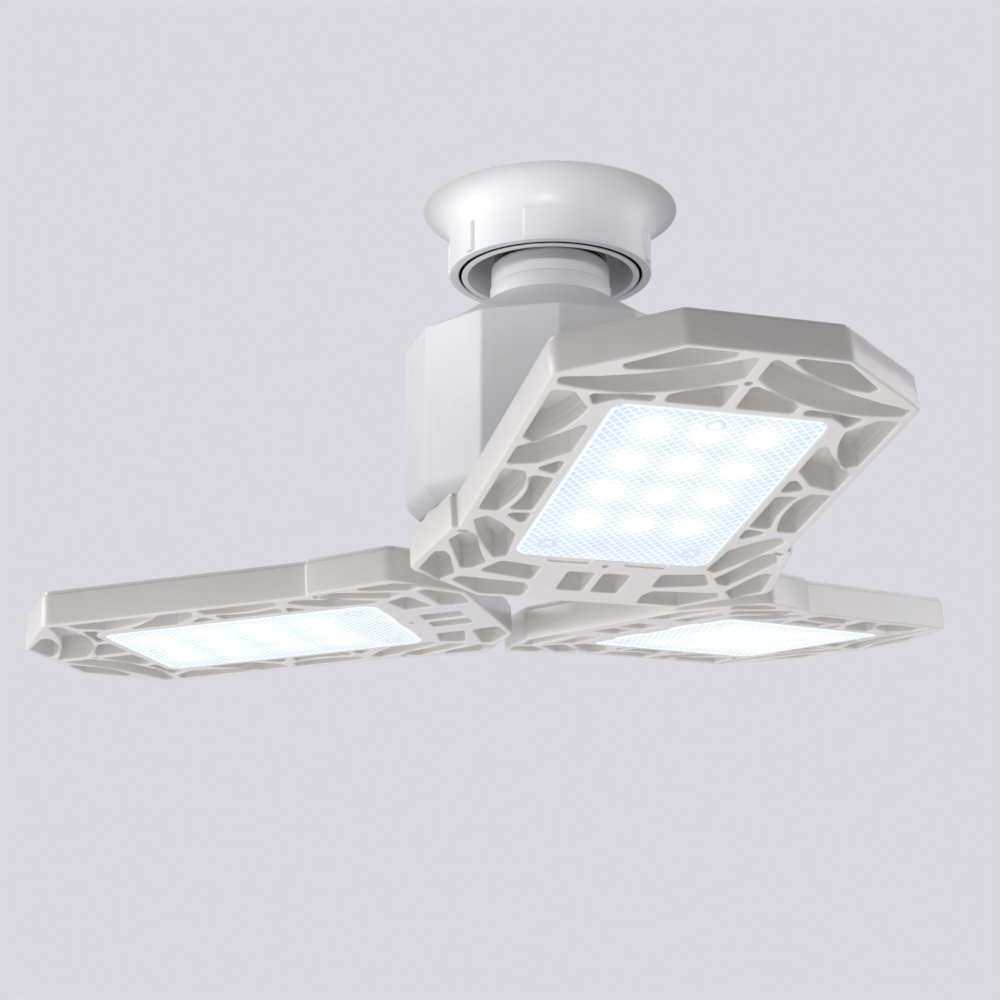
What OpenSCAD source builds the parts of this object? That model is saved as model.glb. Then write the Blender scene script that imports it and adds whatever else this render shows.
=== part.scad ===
// Garage light with three folding lit panels, hanging in its ceiling lampholder.
// Millimetres. The origin is on the ceiling, on the lamp's axis, and the light hangs down from it.

/* [Lampholder] */
// Outer diameter of the flared rim against the ceiling
flange_d = 82; // [76:1:96]
// Outer diameter of the straight skirt
skirt_d = 65; // [62:0.5:72]
// Depth of the cover, from the ceiling to the skirt's lower edge
cover_h = 22.2; // [20:0.1:28]
// Height of the straight skirt
skirt_h = 11.3; // [8:0.1:13]
// Wall of the cover
cover_wall = 1.8; // [1.4:0.1:2.4]
// Outer diameter of the inner collar
collar_d = 57.2; // [56:0.1:57.6]
// Wall of the inner collar
collar_wall = 2; // [1.4:0.1:2.2]
// Thickness of the base plate
base_t = 3; // [2:0.1:3.6]
// Distance between the two ceiling screws
mount_spacing = 50.8; // [48:0.1:52]
// Diameter of the ceiling screw holes
mount_hole_d = 4.5; // [3.6:0.1:5]
// Number of locking ridges round the skirt
ridge_count = 3; // [2:1:4]
// Diameter of the dark barrel that holds the screw shell
barrel_d = 36.4; // [34:0.1:37]
// Number of rivets round the barrel
rivet_count = 12; // [6:1:16]

/* [Screw cap] */
// Outer diameter of the cap's thread
thread_d = 26.2; // [25.8:0.1:26.4]
// Thread pitch
thread_pitch = 3.63; // [3:0.01:4]
// Number of thread rings
thread_rings = 4; // [3:1:5]
// Depth of the thread
thread_depth = 0.8; // [0.5:0.1:1]

/* [Neck and housing] */
// Diameter of the neck
neck_d = 38; // [36:0.5:42]
// Height of the neck
neck_h = 13.2; // [12:0.1:20]
// How far the neck reaches up inside the skirt
neck_entry = 3.2; // [2:0.1:4.5]
// Height of the sloping shoulder
shoulder_h = 15.6; // [12:0.1:22]
// Diameter across the corners of the twelve-sided housing
housing_d = 92.4; // [90:0.2:100]
// Height of the twelve-sided housing
housing_h = 56; // [50:0.1:70]
// Height of the bevel round the housing's lower edge
bevel_h = 6.6; // [5:0.1:8]
// How far the bevel comes in
bevel_in = 4.7; // [3:0.1:5.2]
// Wall of the housing
housing_wall = 2; // [1.6:0.1:2.6]
// Diameter of the hub disc under the housing
hub_d = 80; // [79:0.5:81]
// Height of the hub disc
hub_h = 1.7; // [1.5:0.1:8]

/* [Hinges] */
// Distance from the hub's edge in to each hinge axis
hinge_inset = 10.5; // [6:0.1:11]
// Height from the hinge axis up to the hub
hinge_drop = 12; // [11:0.1:16]
// Diameter of the hinge pins
pin_d = 3; // [2.5:0.1:3.6]
// Diameter of the hinge knuckles
knuckle_d = 8; // [7:0.1:8.2]
// Width of the middle knuckle on the panel
knuckle_w = 22; // [16:0.5:24]
// Thickness of each bracket ear
ear_t = 4; // [3:0.1:5]
// Running clearance round a pin
pin_clearance = 0.05; // [0.02:0.01:0.09]
// Angle of the front panel above level
tilt_front = 11.8; // [-8:0.1:55]
// Angle of the left panel above level
tilt_left = -3.4; // [-8:0.1:55]
// Angle of the right panel above level
tilt_right = 5; // [-8:0.1:55]

/* [Panels] */
// Width of the lens
lens_w = 57.8; // [50:0.2:62]
// Length of the lens
lens_l = 87.6; // [80:0.2:110]
// Thickness of the lens
lens_t = 2; // [1.5:0.1:2.5]
// Radius of the lens corners
lens_corner = 4; // [2:0.1:6]
// Distance from the hinge axis out to the lens
lens_start = 20.4; // [20:0.1:24]
// Thickness of a panel, with its back cover
panel_t = 10.9; // [10.4:0.1:14]
// Distance from the hinge axis down to a panel's back
back_drop = 4.5; // [4.4:0.1:5.2]
// Width across a panel's long parallel sides
side_w = 97.6; // [94:0.2:104]
// Width across the flared shoulders by the hinge
flare_w = 112; // [106:0.5:113]
// Width of the straight edge under the hub
edge_w = 62.6; // [58:0.2:63]
// Width of the straight outer edge
tip_w = 42; // [34:0.2:50]
// Length of the panel past the lens, outwards
tip_margin = 29.4; // [27:0.1:36]
// Length of the outer corner's slope
tip_slope = 19; // [15:0.1:22]
// Where the flare starts, measured outwards from the lens's inner edge
flare_start = 14.1; // [8:0.1:20]
// Where the flare is widest, measured inwards from the lens's inner edge
flare_end = 14; // [12:0.1:15]
// Length of the panel past the lens, inwards
edge_margin = 29.2; // [28:0.1:29.4]
// Thickness of a frame's floor
floor_t = 1.6; // [1.2:0.1:2.2]
// Thickness of a back cover
back_cover_t = 1.2; // [1:0.1:1.6]
// Rounding of a panel's corners in plan
plan_round = 4.5; // [2:0.1:6]
// Step out from a long side to the flare
flare_step = 1.8; // [1.2:0.1:3]

/* [Lights] */
// Emitters across a board
led_columns = 3; // [2:1:4]
// Emitters along a board
led_rows = 4; // [3:1:5]
// Distance between emitters across a board
led_pitch_x = 14.9; // [12:0.1:15.5]
// Distance between emitters along a board
led_pitch_y = 17.5; // [15:0.1:18.5]
// Thickness of a board
board_t = 1.5; // [1:0.1:2]

/* [Hidden] */
$fn = 96;
eps = 0.01;
seat_gap = 0.2;            // between parts that slide together
thread_clearance = 0.35;   // between the cap's thread and the screw shell
contact_gap = 0.3;         // between the cap's tip and the spring contact
screw_gap = 0.05;          // round a screw in its hole

PANELS = [["front", -90, tilt_front], ["left", 150, tilt_left], ["right", 30, tilt_right]];
PANEL_PARTS = ["frame", "lens", "led_board", "leds", "back_cover", "hinge_leaf", "board_screws",
               "leaf_screws", "panel_lead"];
HINGE_PARTS = ["hinge_bracket", "hinge_pin"];
HOLDER_NODES = ["holder_base", "holder_cover", "holder_collar", "holder_screws", "socket_barrel",
                "barrel_rivets", "screw_shell", "neutral_strap", "centre_contact", "terminal_blocks"];
LAMP_NODES = ["cap_shell", "cap_insulator", "cap_contact", "neck", "housing", "driver_board",
              "driver_transformer", "driver_capacitors", "driver_chips", "supply_leads", "hub",
              "hub_screws", "bracket_screws", "hinge_nuts", "friction_washers", "hub_leads"];

// Heights along the lamp's axis, from the ceiling down
neck_top = -(cover_h - neck_entry);
neck_bottom = neck_top - neck_h;
housing_top = neck_bottom - shoulder_h;
hub_top = housing_top - housing_h;
hub_bottom = hub_top - hub_h;
hinge_z = hub_bottom - hinge_drop;

// Lampholder
collar_bottom = -cover_h - 0.4;
web_t = 2;
flange_t = 2;
web_top = -base_t - flange_t;
flare_rise = cover_h - skirt_h;
barrel_r = barrel_d / 2;
barrel_bottom = neck_top + 1;
barrel_roof_t = 3.5;
skirt_lip = 1.25;
skirt_lip_h = 6;
barrel_flange_r = barrel_r + 1.8;
base_r = skirt_d / 2 + 0.1;
pillar_r = 3;
pillar_at = barrel_flange_r + pillar_r + seat_gap;
ridge_az = 82;
ridge_w = 3;
ridge_out = 1;
pad_span = 50;
pad_out = 0.4;
rivet_r = 0.9;
rivet_z = barrel_bottom + 2;
head_room_r = mount_hole_d;
head_room = 9;
terminal_bore_r = 1;
terminal_h = 4;
terminal_head_r = 1.8;
holder_screw_h = 6;
strap_at = thread_d / 2 - thread_depth - 1;
terminals = [[-5, 4], [strap_at - 2.5, strap_at + 4]];

// Screw cap
thread_r = thread_d / 2;
core_r = thread_r - thread_depth;
thread_start = neck_top + 1;
thread_end = thread_start + thread_rings * thread_pitch;
shell_top = thread_end + 2.5;
tip_r = 4.8;
tip_round = 1.6;
cap_mouth_r = 9;
insulator_top = shell_top + 3.6;
tip_top = insulator_top + 2;
contact_t = 1.1;
barrel_roof = tip_top + contact_gap + contact_t + barrel_roof_t;
shell_wall = 0.6;
holder_shell_wall = 0.5;
holder_shell_top = shell_top + 1.4;
bore_r = thread_r + thread_clearance + holder_shell_wall + 0.05;
thread_steps = 8;

// Neck and housing
neck_r = neck_d / 2;
neck_wall = 2;
neck_step = 0.4;
neck_flange_h = 5.5;
spigot_r = neck_r - 4.2;
spigot_h = 5;
housing_r = housing_d / 2;
inner_r = housing_r - housing_wall / cos(15);
shoulder_foot_r = housing_r * cos(15) - 2;
shoulder_top_r = neck_r + 1.2;
top_edge = 0.8;
bevel_mid = [0.28 * bevel_in, 0.48 * bevel_h];
hub_r = hub_d / 2;
hub_round = 1;
hub_wall = 2;
hub_floor = 2.6;
hub_spigot_h = 3.6;
mouth_r = hub_r - 2.6;
boss_r = 3.6;
boss_h = 12;
boss_at = mouth_r - hub_wall - boss_r + seat_gap;
round_steps = 6;

// Driver
driver_y = 7;
driver_w = 50;
driver_t = 1.6;
driver_bottom = hub_bottom + hub_floor;
driver_h = 42;
lead_r = 0.9;
lead_x = 1.5;
lead_y = -3.5;
lead_pair_r = 1.6;
// The transformer's core and the bobbin that stands out of it, each capacitor as [x, height on the
// board, radius, length], and each chip's corner as [x, height]
transformer = [17, 12, 16];
transformer_at = [-20, 12];
bobbin = [11, 3, 10];
capacitors = [[11, 22, 6.5, 20], [-10, 28, 5, 14]];
chips = [[2, 10], [12, 12], [-18, 12], [16, 30]];

// Hinges, in a frame whose x runs along the pin, y points outwards and z up
hinge_r = hub_r - hinge_inset;
pin_r = pin_d / 2;
bore_pin_r = pin_r + pin_clearance;
knuckle_r = knuckle_d / 2;
ear_gap = 1;
ear_x = knuckle_w / 2 + ear_gap;
bracket_t = 2.5;
bracket_in = 11;
bracket_out = 5;
bracket_w = 2 * (ear_x + ear_t) + 2;
washer_t = ear_gap - 0.6;
head_r = 2.8;
head_t = 1.8;
nut_r = 3;
nut_t = 2.2;
leaf_t = 2;
leaf_in = 5;
leaf_out = 13;
leaf_screw = [knuckle_w / 2 - 4, 9.5];
small_head_r = 2.3;
small_head_t = 1.1;
small_shank_r = 1.2;
bracket_screw = [ear_x - 1.5, -7.5];

// Panel levels, measured up from the hinge axis
rim_z = -(back_drop + panel_t);
floor_top = -back_drop - back_cover_t;
floor_bottom = floor_top - floor_t;
frame_h = floor_top - rim_z;
lens_gap = 0.2;
ledge = 1.5;
board_w = lens_w - 2 * ledge - 2;
board_l = lens_l - 2 * ledge - 2;
board_bottom = floor_bottom - board_t;
cover_inset = 1.5;
boss_pad = [14, 11];
boss_pad_t = 2.3;
lens_mid = lens_start + lens_l / 2;
led_size = 5;
led_body_t = 0.9;
led_dome_r = 1.9;
lead_in = 3.5;
board_screw_at = [[0, lens_start + 0.925 * lens_l], [0.37 * lens_w, lens_start + 0.095 * lens_l],
                  [-0.37 * lens_w, lens_start + 0.095 * lens_l]];
// Small holes in the underside, a slit by each flare, and the low steps beside the lens's inner edge
pin_hole_r = 1;
pin_hole_h = 3;
pin_hole_in = 4;
slit = [2.8, 0.6, 2];
slit_at = [side_w / 2 - 2, lens_start + flare_start - 1.95];
slit_turn = -12;
low_step = [12.5, 3.2, 0.5];
low_step_x = 5.4;

// The ribs are drawn on a grid that follows the sizes above. Across, 35 is the lens's edge and 59 the
// side. Along, -35 is the edge under the hub, 0 and 106 the ends of the lens, 142 the outer edge, and
// 124 the small hole past the lens.
grid_lens_x = 35;
grid_side_x = 59;
grid_edge_y = 35;
grid_lens_y = 106;
grid_tip_y = 142;
grid_hole_y = 124;
function grid_x(x) = x < grid_lens_x ? x / grid_lens_x * lens_w / 2
    : lens_w / 2 + (x - grid_lens_x) / (grid_side_x - grid_lens_x) * (side_w - lens_w) / 2;
function grid_y(y) = lens_start + (y < 0 ? y / grid_edge_y * edge_margin
    : y < grid_lens_y ? y / grid_lens_y * lens_l
    : lens_l + (y - grid_lens_y) / (grid_tip_y - grid_lens_y) * tip_margin);

// Each pocket's corners on the grid, as [across, along, bow of the edge that leaves the corner]
POCKETS = [
    // outer leaf, and the long band inside it
    [[40.5, 127.5, 0], [25, 140, 0], [7, 140.2, -0.2], [38.5, 125.5, 0]],
    [[56, 117.5, 0.11], [2, 139.5, 0], [2, 127, -0.25], [55.5, 113.8, 0]],
    // at the lens's corner, and above the lens
    [[44.5, 109.6, 0], [24, 112.3, 0], [24, 108.6, 0], [34, 108.5, 0], [38, 106, 0], [41, 103, 0]],
    [[20.8, 113.4, -0.06], [2, 123, 0], [2, 109, 0], [20.8, 109, 0]],
    // down the side: leaf, band, small triangle, half ellipse, and the one beside the lens
    [[55.8, 110, 0], [49, 109.7, 0], [42, 101, -0.18], [52, 78.3, 0], [55.8, 80.5, 0]],
    [[55.8, 74.5, 0.12], [38.2, 95.5, 0], [38.2, 74, 0], [46, 65.2, 0], [55.8, 62.5, 0]],
    [[46, 61.5, 0], [38.2, 69.5, 0], [38.2, 58.5, 0]],
    [[55.8, 60, 0], [48.8, 59.2, -0.1], [46, 50, -0.12], [49.3, 31, 0], [55.8, 31, 0]],
    [[46.5, 57, 0], [38.2, 56, 0], [38.2, 33, 0], [46.5, 32.5, 0.2]],
    // the lower triangle and wedge
    [[47, 29.5, 0], [38, 31.3, 0], [38, 22.3, 0]],
    [[55.2, 23.4, 0], [51.7, 27, 0], [45.3, 22.2, 0], [38.4, 14.4, 0], [36.6, -2, 0], [40.6, -4, -0.08]],
    // the flare: leaf and corner
    [[57, 12.3, 0], [53.9, 14.4, 0], [50.4, 10.4, 0.06], [42, -8.4, 0], [45.2, -12.6, 0],
     [49.4, -14, 0], [59.4, 7.2, 0]],
    [[61.6, -2.2, 0], [58.6, -1.6, 0], [55.6, -5.4, 0], [50.4, -18.6, 0], [54.7, -24, 0],
     [63.5, -16.6, 0]],
    // under the lens: inner slot, edge slot and the middle square
    [[42.6, -14.8, 0], [37.4, -5.8, 0], [22.3, -8.4, 0], [22.3, -19.4, 0]],
    [[50.2, -23.6, 0], [48, -20.2, 0], [24, -22.2, 0], [21.5, -26, 0], [21.5, -32.9, 0],
     [37.8, -33, 0]],
    [[11.5, -10.5, 0], [1.6, -10.5, 0], [1.6, -26, 0], [11.5, -26, 0]]
];
arc_steps = 6;

// --- shapes in plan ---
function unit(v) = v / norm(v);
function reversed(v) = [for (i = [len(v) - 1:-1:0]) v[i]];
// Points of an arc from p towards q, without q. bow is its rise over half its chord, to the left when
// positive.
function arc(p, q, bow, steps) = bow == 0 ? [p] :
    let (chord = norm(q - p), left = [-(q - p)[1], (q - p)[0]] / chord,
         r = chord * (1 + bow * bow) / (4 * bow),
         mid = (p + q) / 2 + left * (bow * chord / 2 - r), turn = -4 * atan(bow) / steps)
    [for (i = [0:steps - 1]) let (v = p - mid, a = i * turn)
        mid + [v[0] * cos(a) - v[1] * sin(a), v[0] * sin(a) + v[1] * cos(a)]];
// A closed outline moved inwards by d. The corners run anticlockwise.
function inset(pts, d) = [for (i = [0:len(pts) - 1])
    let (n = len(pts), into = unit(pts[i] - pts[(i + n - 1) % n]), out = unit(pts[(i + 1) % n] - pts[i]),
         a = [-into[1], into[0]], b = [-out[1], out[0]])
    pts[i] + d * (a + b) / (1 + a * b)];
// A closed outline with every corner rounded
function rounded(pts, radii, steps) = [for (i = [0:len(pts) - 1])
    let (n = len(pts), p = pts[i], r = is_list(radii) ? radii[i] : radii,
         u = unit(pts[(i + n - 1) % n] - p), v = unit(pts[(i + 1) % n] - p),
         half = acos(u * v) / 2, t = r / tan(half), side = u[0] * v[1] - u[1] * v[0] > 0 ? 1 : -1,
         a = p + u * t, b = p + v * t)
    each concat(arc(a, b, side * tan((180 - 2 * half) / 4), steps), [b])];
// The outline of one panel, anticlockwise from the right of the edge under the hub
function panel_corners() =
    let (c = lens_start + flare_start, b = lens_start + lens_l + tip_margin - tip_slope,
         half = [[edge_w / 2, lens_start - edge_margin], [flare_w / 2, lens_start - flare_end],
                 [side_w / 2 + flare_step, c], [side_w / 2, c], [side_w / 2, b],
                 [tip_w / 2, b + tip_slope]])
    concat(half, [for (i = [len(half) - 1:-1:0]) [-half[i][0], half[i][1]]]);
function panel_radii(d) = let (r = max(plan_round - d, 1), half = [r, r, 0.6, 0.4, r, r])
    concat(half, reversed(half));
function panel_outline(d) = rounded(inset(panel_corners(), d), panel_radii(d), arc_steps);
function pocket(corners) = [for (i = [0:len(corners) - 1])
    let (n = len(corners), p = corners[i], q = corners[(i + 1) % n])
    each arc([grid_x(p[0]), grid_y(p[1])], [grid_x(q[0]), grid_y(q[1])], p[2], arc_steps)];

module lens_plan(grow) {
    w = lens_w / 2 + grow;
    l = lens_l / 2 + grow;
    translate([0, lens_mid])
        polygon(rounded([[-w, -l], [w, -l], [w, l], [-w, l]], lens_corner, arc_steps));
}

module pockets_plan() {
    for (side = [0, 1], corners = POCKETS) mirror([side, 0]) polygon(pocket(corners));
}

// --- placing ---
module at_hinge(azimuth, tilt = 0) {
    translate([0, 0, hinge_z]) rotate([0, 0, azimuth - 90]) translate([0, hinge_r, 0])
        rotate([tilt, 0, 0]) children();
}

module along_x() {
    rotate([0, 90, 0]) children();
}

module tube(r_out, r_in, h) {
    difference() {
        cylinder(r = r_out, h = h);
        translate([0, 0, -eps]) cylinder(r = r_in, h = h + 2 * eps);
    }
}

// A screw that points up, its head's face at z = 0
module screw(shank_r, shank_h, r, t) {
    translate([0, 0, -t]) cylinder(r = r, h = t);
    cylinder(r = shank_r, h = shank_h);
}

// --- lampholder ---
// The flare's curve from the skirt out to the rim, moved inwards by d
function flare_curve(d) = [for (i = [0:round_steps]) let (a = 90 * i / round_steps)
    [skirt_d / 2 - d + (flange_d - skirt_d) / 2 * (1 - cos(a)),
     -flare_rise + (flare_rise - 0.3 + d) * sin(a)]];

module holder_cover() {
    outer = flare_curve(0);
    inner = flare_curve(cover_wall);
    wall_r = skirt_d / 2 - cover_wall;
    color("white") {
        rotate_extrude() difference() {
            polygon(concat(
                [[wall_r - skirt_lip, -cover_h], [skirt_d / 2, -cover_h]], outer,
                [[wall_r, -0.3], [wall_r, skirt_lip_h + 1 - cover_h],
                 [wall_r - skirt_lip, skirt_lip_h - cover_h]]));
            polygon(concat([[0, -flare_rise - 1], [wall_r, -flare_rise - 1]],
                           [for (p = inner) [p[0], min(p[1], 1)]], [[0, 1]]));
        }
        // the ring that hooks under the base plate
        translate([0, 0, -base_t - 1.4]) tube(skirt_d / 2 + 0.8, wall_r, 1.4);
        for (i = [0:ridge_count - 1]) rotate([0, 0, ridge_az + i * 360 / ridge_count]) {
            translate([skirt_d / 2 - 0.5, -ridge_w / 2, -cover_h + 0.2])
                cube([ridge_out + 0.5, ridge_w, skirt_h - 0.6]);
            rotate([0, 0, 180 / ridge_count - pad_span / 2]) translate([0, 0, -cover_h + 0.4])
                rotate_extrude(angle = pad_span) translate([skirt_d / 2 - 0.5, 0])
                    square([pad_out + 0.5, skirt_h - 1.2]);
        }
    }
}

module holder_base() {
    color("white") difference() {
        union() {
            translate([0, 0, -base_t]) cylinder(r = base_r, h = base_t);
            for (s = [-1, 1]) translate([0, s * pillar_at, web_top])
                cylinder(r = pillar_r, h = -web_top);
        }
        translate([0, 0, -base_t - eps]) cylinder(r = barrel_r + seat_gap, h = base_t + 2 * eps);
        for (s = [-1, 1]) {
            translate([s * mount_spacing / 2, 0, -base_t - eps])
                cylinder(d = mount_hole_d, h = base_t + 2 * eps);
            translate([0, s * pillar_at, web_top - eps])
                cylinder(r = small_shank_r + screw_gap, h = flange_t + base_t - 0.6);
        }
    }
}

module holder_collar() {
    color("whitesmoke") difference() {
        union() {
            translate([0, 0, collar_bottom])
                tube(collar_d / 2, collar_d / 2 - collar_wall, web_top - collar_bottom);
            translate([0, 0, web_top - web_t]) cylinder(r = collar_d / 2, h = web_t);
        }
        translate([0, 0, web_top - web_t - eps]) cylinder(r = barrel_r + seat_gap, h = web_t + 2 * eps);
        for (s = [-1, 1]) {
            translate([s * mount_spacing / 2, 0, web_top - head_room])
                cylinder(r = head_room_r, h = head_room + eps);
            translate([0, s * pillar_at, web_top - web_t - eps])
                cylinder(r = small_shank_r + screw_gap, h = web_t + 2 * eps);
        }
    }
}

module socket_barrel() {
    color("saddlebrown") difference() {
        union() {
            translate([0, 0, barrel_bottom]) cylinder(r = barrel_r, h = barrel_roof - barrel_bottom);
            translate([0, 0, -base_t - flange_t]) cylinder(r = barrel_flange_r, h = flange_t);
        }
        translate([0, 0, barrel_bottom - 1])
            cylinder(r = bore_r, h = barrel_roof - barrel_roof_t - barrel_bottom + 1);
        translate([0, 0, barrel_roof - barrel_roof_t - 1]) {
            cylinder(r = 1.6, h = barrel_roof_t + 2);
            translate([strap_at - 0.5, -2.6, 0]) cube([1.6, 5.2, barrel_roof_t + 2]);
        }
    }
}

module barrel_rivets() {
    color("goldenrod") for (i = [0:rivet_count - 1]) rotate([0, 0, i * 360 / rivet_count])
        translate([barrel_r, 0, rivet_z]) along_x() cylinder(r = rivet_r, h = 0.4);
}

// Half profile of a ringed thread between two heights, grown outwards by d
function thread_profile(d) = [for (i = [0:thread_rings * thread_steps])
    [core_r + thread_depth * (1 - cos(360 * i / thread_steps)) / 2 + d,
     thread_start + i * thread_pitch / thread_steps]];

module screw_shell() {
    in_r = core_r + thread_clearance;
    lip_r = in_r - 1.5;
    color("gold") rotate_extrude() polygon(concat(
        thread_profile(thread_clearance),
        [[in_r, holder_shell_top - holder_shell_wall], [lip_r, holder_shell_top - holder_shell_wall],
         [lip_r, holder_shell_top], [in_r + holder_shell_wall, holder_shell_top]],
        reversed(thread_profile(thread_clearance + holder_shell_wall))));
}

module neutral_strap() {
    color("gold") translate([strap_at - 0.1, -2.4, holder_shell_top])
        cube([1, 4.8, barrel_roof - holder_shell_top]);
}

module centre_contact() {
    color("gold") {
        translate([0, 0, tip_top + contact_gap]) cylinder(r = 4, h = contact_t);
        translate([0, 0, barrel_roof - barrel_roof_t - 0.5]) cylinder(r = 1.5, h = barrel_roof_t + 0.5);
    }
}

module terminal_blocks() {
    color("goldenrod") for (span = terminals) difference() {
        translate([span[0], -4, barrel_roof]) cube([span[1] - span[0], 8, terminal_h]);
        translate([(span[0] + span[1]) / 2, 0, barrel_roof + terminal_h / 2]) rotate([90, 0, 0])
            cylinder(r = terminal_bore_r + screw_gap, h = 5);
    }
}

module holder_screws() {
    color("silver") {
        for (s = [-1, 1]) translate([0, s * pillar_at, web_top - web_t])
            screw(small_shank_r, holder_screw_h, small_head_r, small_head_t);
        for (span = terminals) translate([(span[0] + span[1]) / 2, -4, barrel_roof + terminal_h / 2])
            rotate([-90, 0, 0]) screw(terminal_bore_r, holder_screw_h / 2, terminal_head_r, small_head_t);
    }
}

// --- cap, neck and housing ---
module cap_shell() {
    skin = thread_profile(0);
    color("silver") rotate_extrude() polygon(concat(
        [[core_r - shell_wall, neck_top - 4], [core_r, neck_top - 4]], skin,
        [[core_r, shell_top - 1], [core_r - 1, shell_top], [cap_mouth_r, shell_top],
         [cap_mouth_r, shell_top - shell_wall], [core_r - 1 - shell_wall, shell_top - shell_wall],
         [core_r - shell_wall, shell_top - 1 - shell_wall]],
        [for (p = reversed(skin)) [p[0] - shell_wall, p[1]]]));
}

module cap_insulator() {
    color("dimgray") difference() {
        rotate_extrude() polygon([
            [0, shell_top - 1.6], [cap_mouth_r - 0.6, shell_top - 1.6], [cap_mouth_r - 0.1, shell_top],
            [cap_mouth_r - 0.4, shell_top + 1], [tip_r + 0.6, insulator_top], [0, insulator_top]]);
        translate([lead_x, 0, shell_top - 2])
            cylinder(r = lead_r + screw_gap, h = insulator_top - shell_top + 3);
    }
}

module cap_contact() {
    color("silver") rotate_extrude() polygon(concat(
        [[0, insulator_top], [tip_r, insulator_top]],
        [for (i = [0:round_steps]) let (a = 90 * i / round_steps)
            [tip_r - tip_round * (1 - cos(a)), tip_top - tip_round * (1 - sin(a))]],
        [[0, tip_top]]));
}

module neck() {
    color("white") difference() {
        rotate_extrude() polygon(concat(
            [[0, neck_bottom - spigot_h], [spigot_r - seat_gap, neck_bottom - spigot_h],
             [spigot_r - seat_gap, neck_bottom], [neck_r + neck_step, neck_bottom],
             [neck_r + neck_step, neck_bottom + neck_flange_h - 0.4],
             [neck_r, neck_bottom + neck_flange_h]],
            [for (i = [0:round_steps]) let (a = 90 * i / round_steps)
                [neck_r - 1.5 * (1 - cos(a)), neck_top - 1.5 * (1 - sin(a))]],
            [[0, neck_top]]));
        translate([0, 0, neck_bottom - spigot_h - eps])
            cylinder(r = spigot_r - neck_wall, h = neck_h + spigot_h - neck_wall);
        translate([0, 0, neck_top - neck_wall - 1]) cylinder(r = core_r + screw_gap, h = neck_wall + 2);
    }
}

// A twelve-sided prism between two heights, its corners 15 degrees off the panels
module twelve_sided(r, z0, z1) {
    translate([0, 0, z0]) rotate([0, 0, 15]) cylinder(r = r, h = z1 - z0, $fn = 12);
}

module housing() {
    color("white") difference() {
        union() {
            hull() {
                twelve_sided(housing_r - top_edge, housing_top - 2 * top_edge, housing_top);
                twelve_sided(housing_r, hub_top + bevel_h, housing_top - top_edge);
                twelve_sided(housing_r - bevel_mid[0], hub_top + bevel_mid[1], hub_top + bevel_h);
                twelve_sided(housing_r - bevel_in, hub_top, hub_top + bevel_mid[1]);
            }
            translate([0, 0, housing_top - eps])
                cylinder(r1 = shoulder_foot_r, r2 = shoulder_top_r, h = shoulder_h + eps);
        }
        twelve_sided(inner_r, hub_top + bevel_h + 0.6, housing_top - housing_wall);
        translate([0, 0, hub_top - 1]) cylinder(r = mouth_r, h = bevel_h);
        translate([0, 0, hub_top + 0.6])
            cylinder(r1 = mouth_r - 0.7, r2 = inner_r * cos(15) - 0.5, h = bevel_h + 1);
        translate([0, 0, housing_top - housing_wall - eps])
            cylinder(r1 = shoulder_foot_r - housing_wall, r2 = shoulder_top_r - 4, h = shoulder_h - 0.6);
        translate([0, 0, neck_bottom - spigot_h - 1]) cylinder(r = spigot_r, h = spigot_h + 2);
    }
    color("white") for (az = [90:120:330])
        rotate([0, 0, az]) translate([0, 0, hub_top + hub_spigot_h + 0.2]) difference() {
            union() {
                translate([boss_at, 0, 0]) cylinder(r = boss_r, h = boss_h);
                translate([boss_at, -1.5, 3.2]) cube([inner_r * cos(15) - boss_at + 0.4, 3, boss_h - 3.2]);
            }
            translate([boss_at, 0, -1]) cylinder(r = small_shank_r + screw_gap, h = boss_h - 1);
        }
}

module hub() {
    color("gainsboro") difference() {
        union() {
            difference() {
                rotate_extrude() polygon(concat(
                    [[0, hub_bottom]],
                    [for (i = [0:round_steps]) let (a = 90 * i / round_steps)
                        [hub_r - hub_round * (1 - sin(a)), hub_bottom + hub_round * (1 - cos(a))]],
                    [[hub_r, hub_top], [mouth_r - seat_gap, hub_top],
                     [mouth_r - seat_gap, hub_top + hub_spigot_h], [0, hub_top + hub_spigot_h]]));
                translate([0, 0, hub_bottom + hub_floor])
                    cylinder(r = mouth_r - seat_gap - hub_wall, h = hub_h + hub_spigot_h);
            }
            for (az = [90:120:330]) rotate([0, 0, az])
                translate([boss_at, 0, hub_bottom + 1]) cylinder(r = boss_r, h = hub_h + hub_spigot_h - 1);
            for (y = [driver_y - driver_t / 2 - 1.5, driver_y + driver_t / 2 + 0.1])
                translate([-driver_w / 2 - 2, y, driver_bottom - 1]) cube([driver_w + 4, 1.4, 4]);
        }
        for (az = [90:120:330]) rotate([0, 0, az]) translate([boss_at, 0, hub_bottom - eps]) {
            cylinder(r = small_shank_r + screw_gap, h = hub_h + hub_spigot_h + 1);
            cylinder(r = small_head_r + 0.3, h = small_head_t + 0.4 + eps);
        }
        for (p = PANELS) rotate([0, 0, p[1] - 90]) translate([0, hinge_r, hub_bottom - eps]) {
            for (s = [-1, 1]) translate([s * bracket_screw[0], bracket_screw[1], 0])
                cylinder(r = small_shank_r + screw_gap, h = hub_floor + 1);
            translate([0, lead_y, 0]) cylinder(r = lead_pair_r + 0.3, h = hub_floor + 1);
        }
    }
}

module hub_screws() {
    color("silver") for (az = [90:120:330]) rotate([0, 0, az])
        translate([boss_at, 0, hub_bottom + small_head_t + 0.4])
            screw(small_shank_r, hub_h + hub_spigot_h + 6, small_head_r, small_head_t);
}

// --- driver ---
module driver_board() {
    color("darkgreen") translate([-driver_w / 2, driver_y - driver_t / 2, driver_bottom])
        cube([driver_w, driver_t, driver_h]);
}

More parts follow.
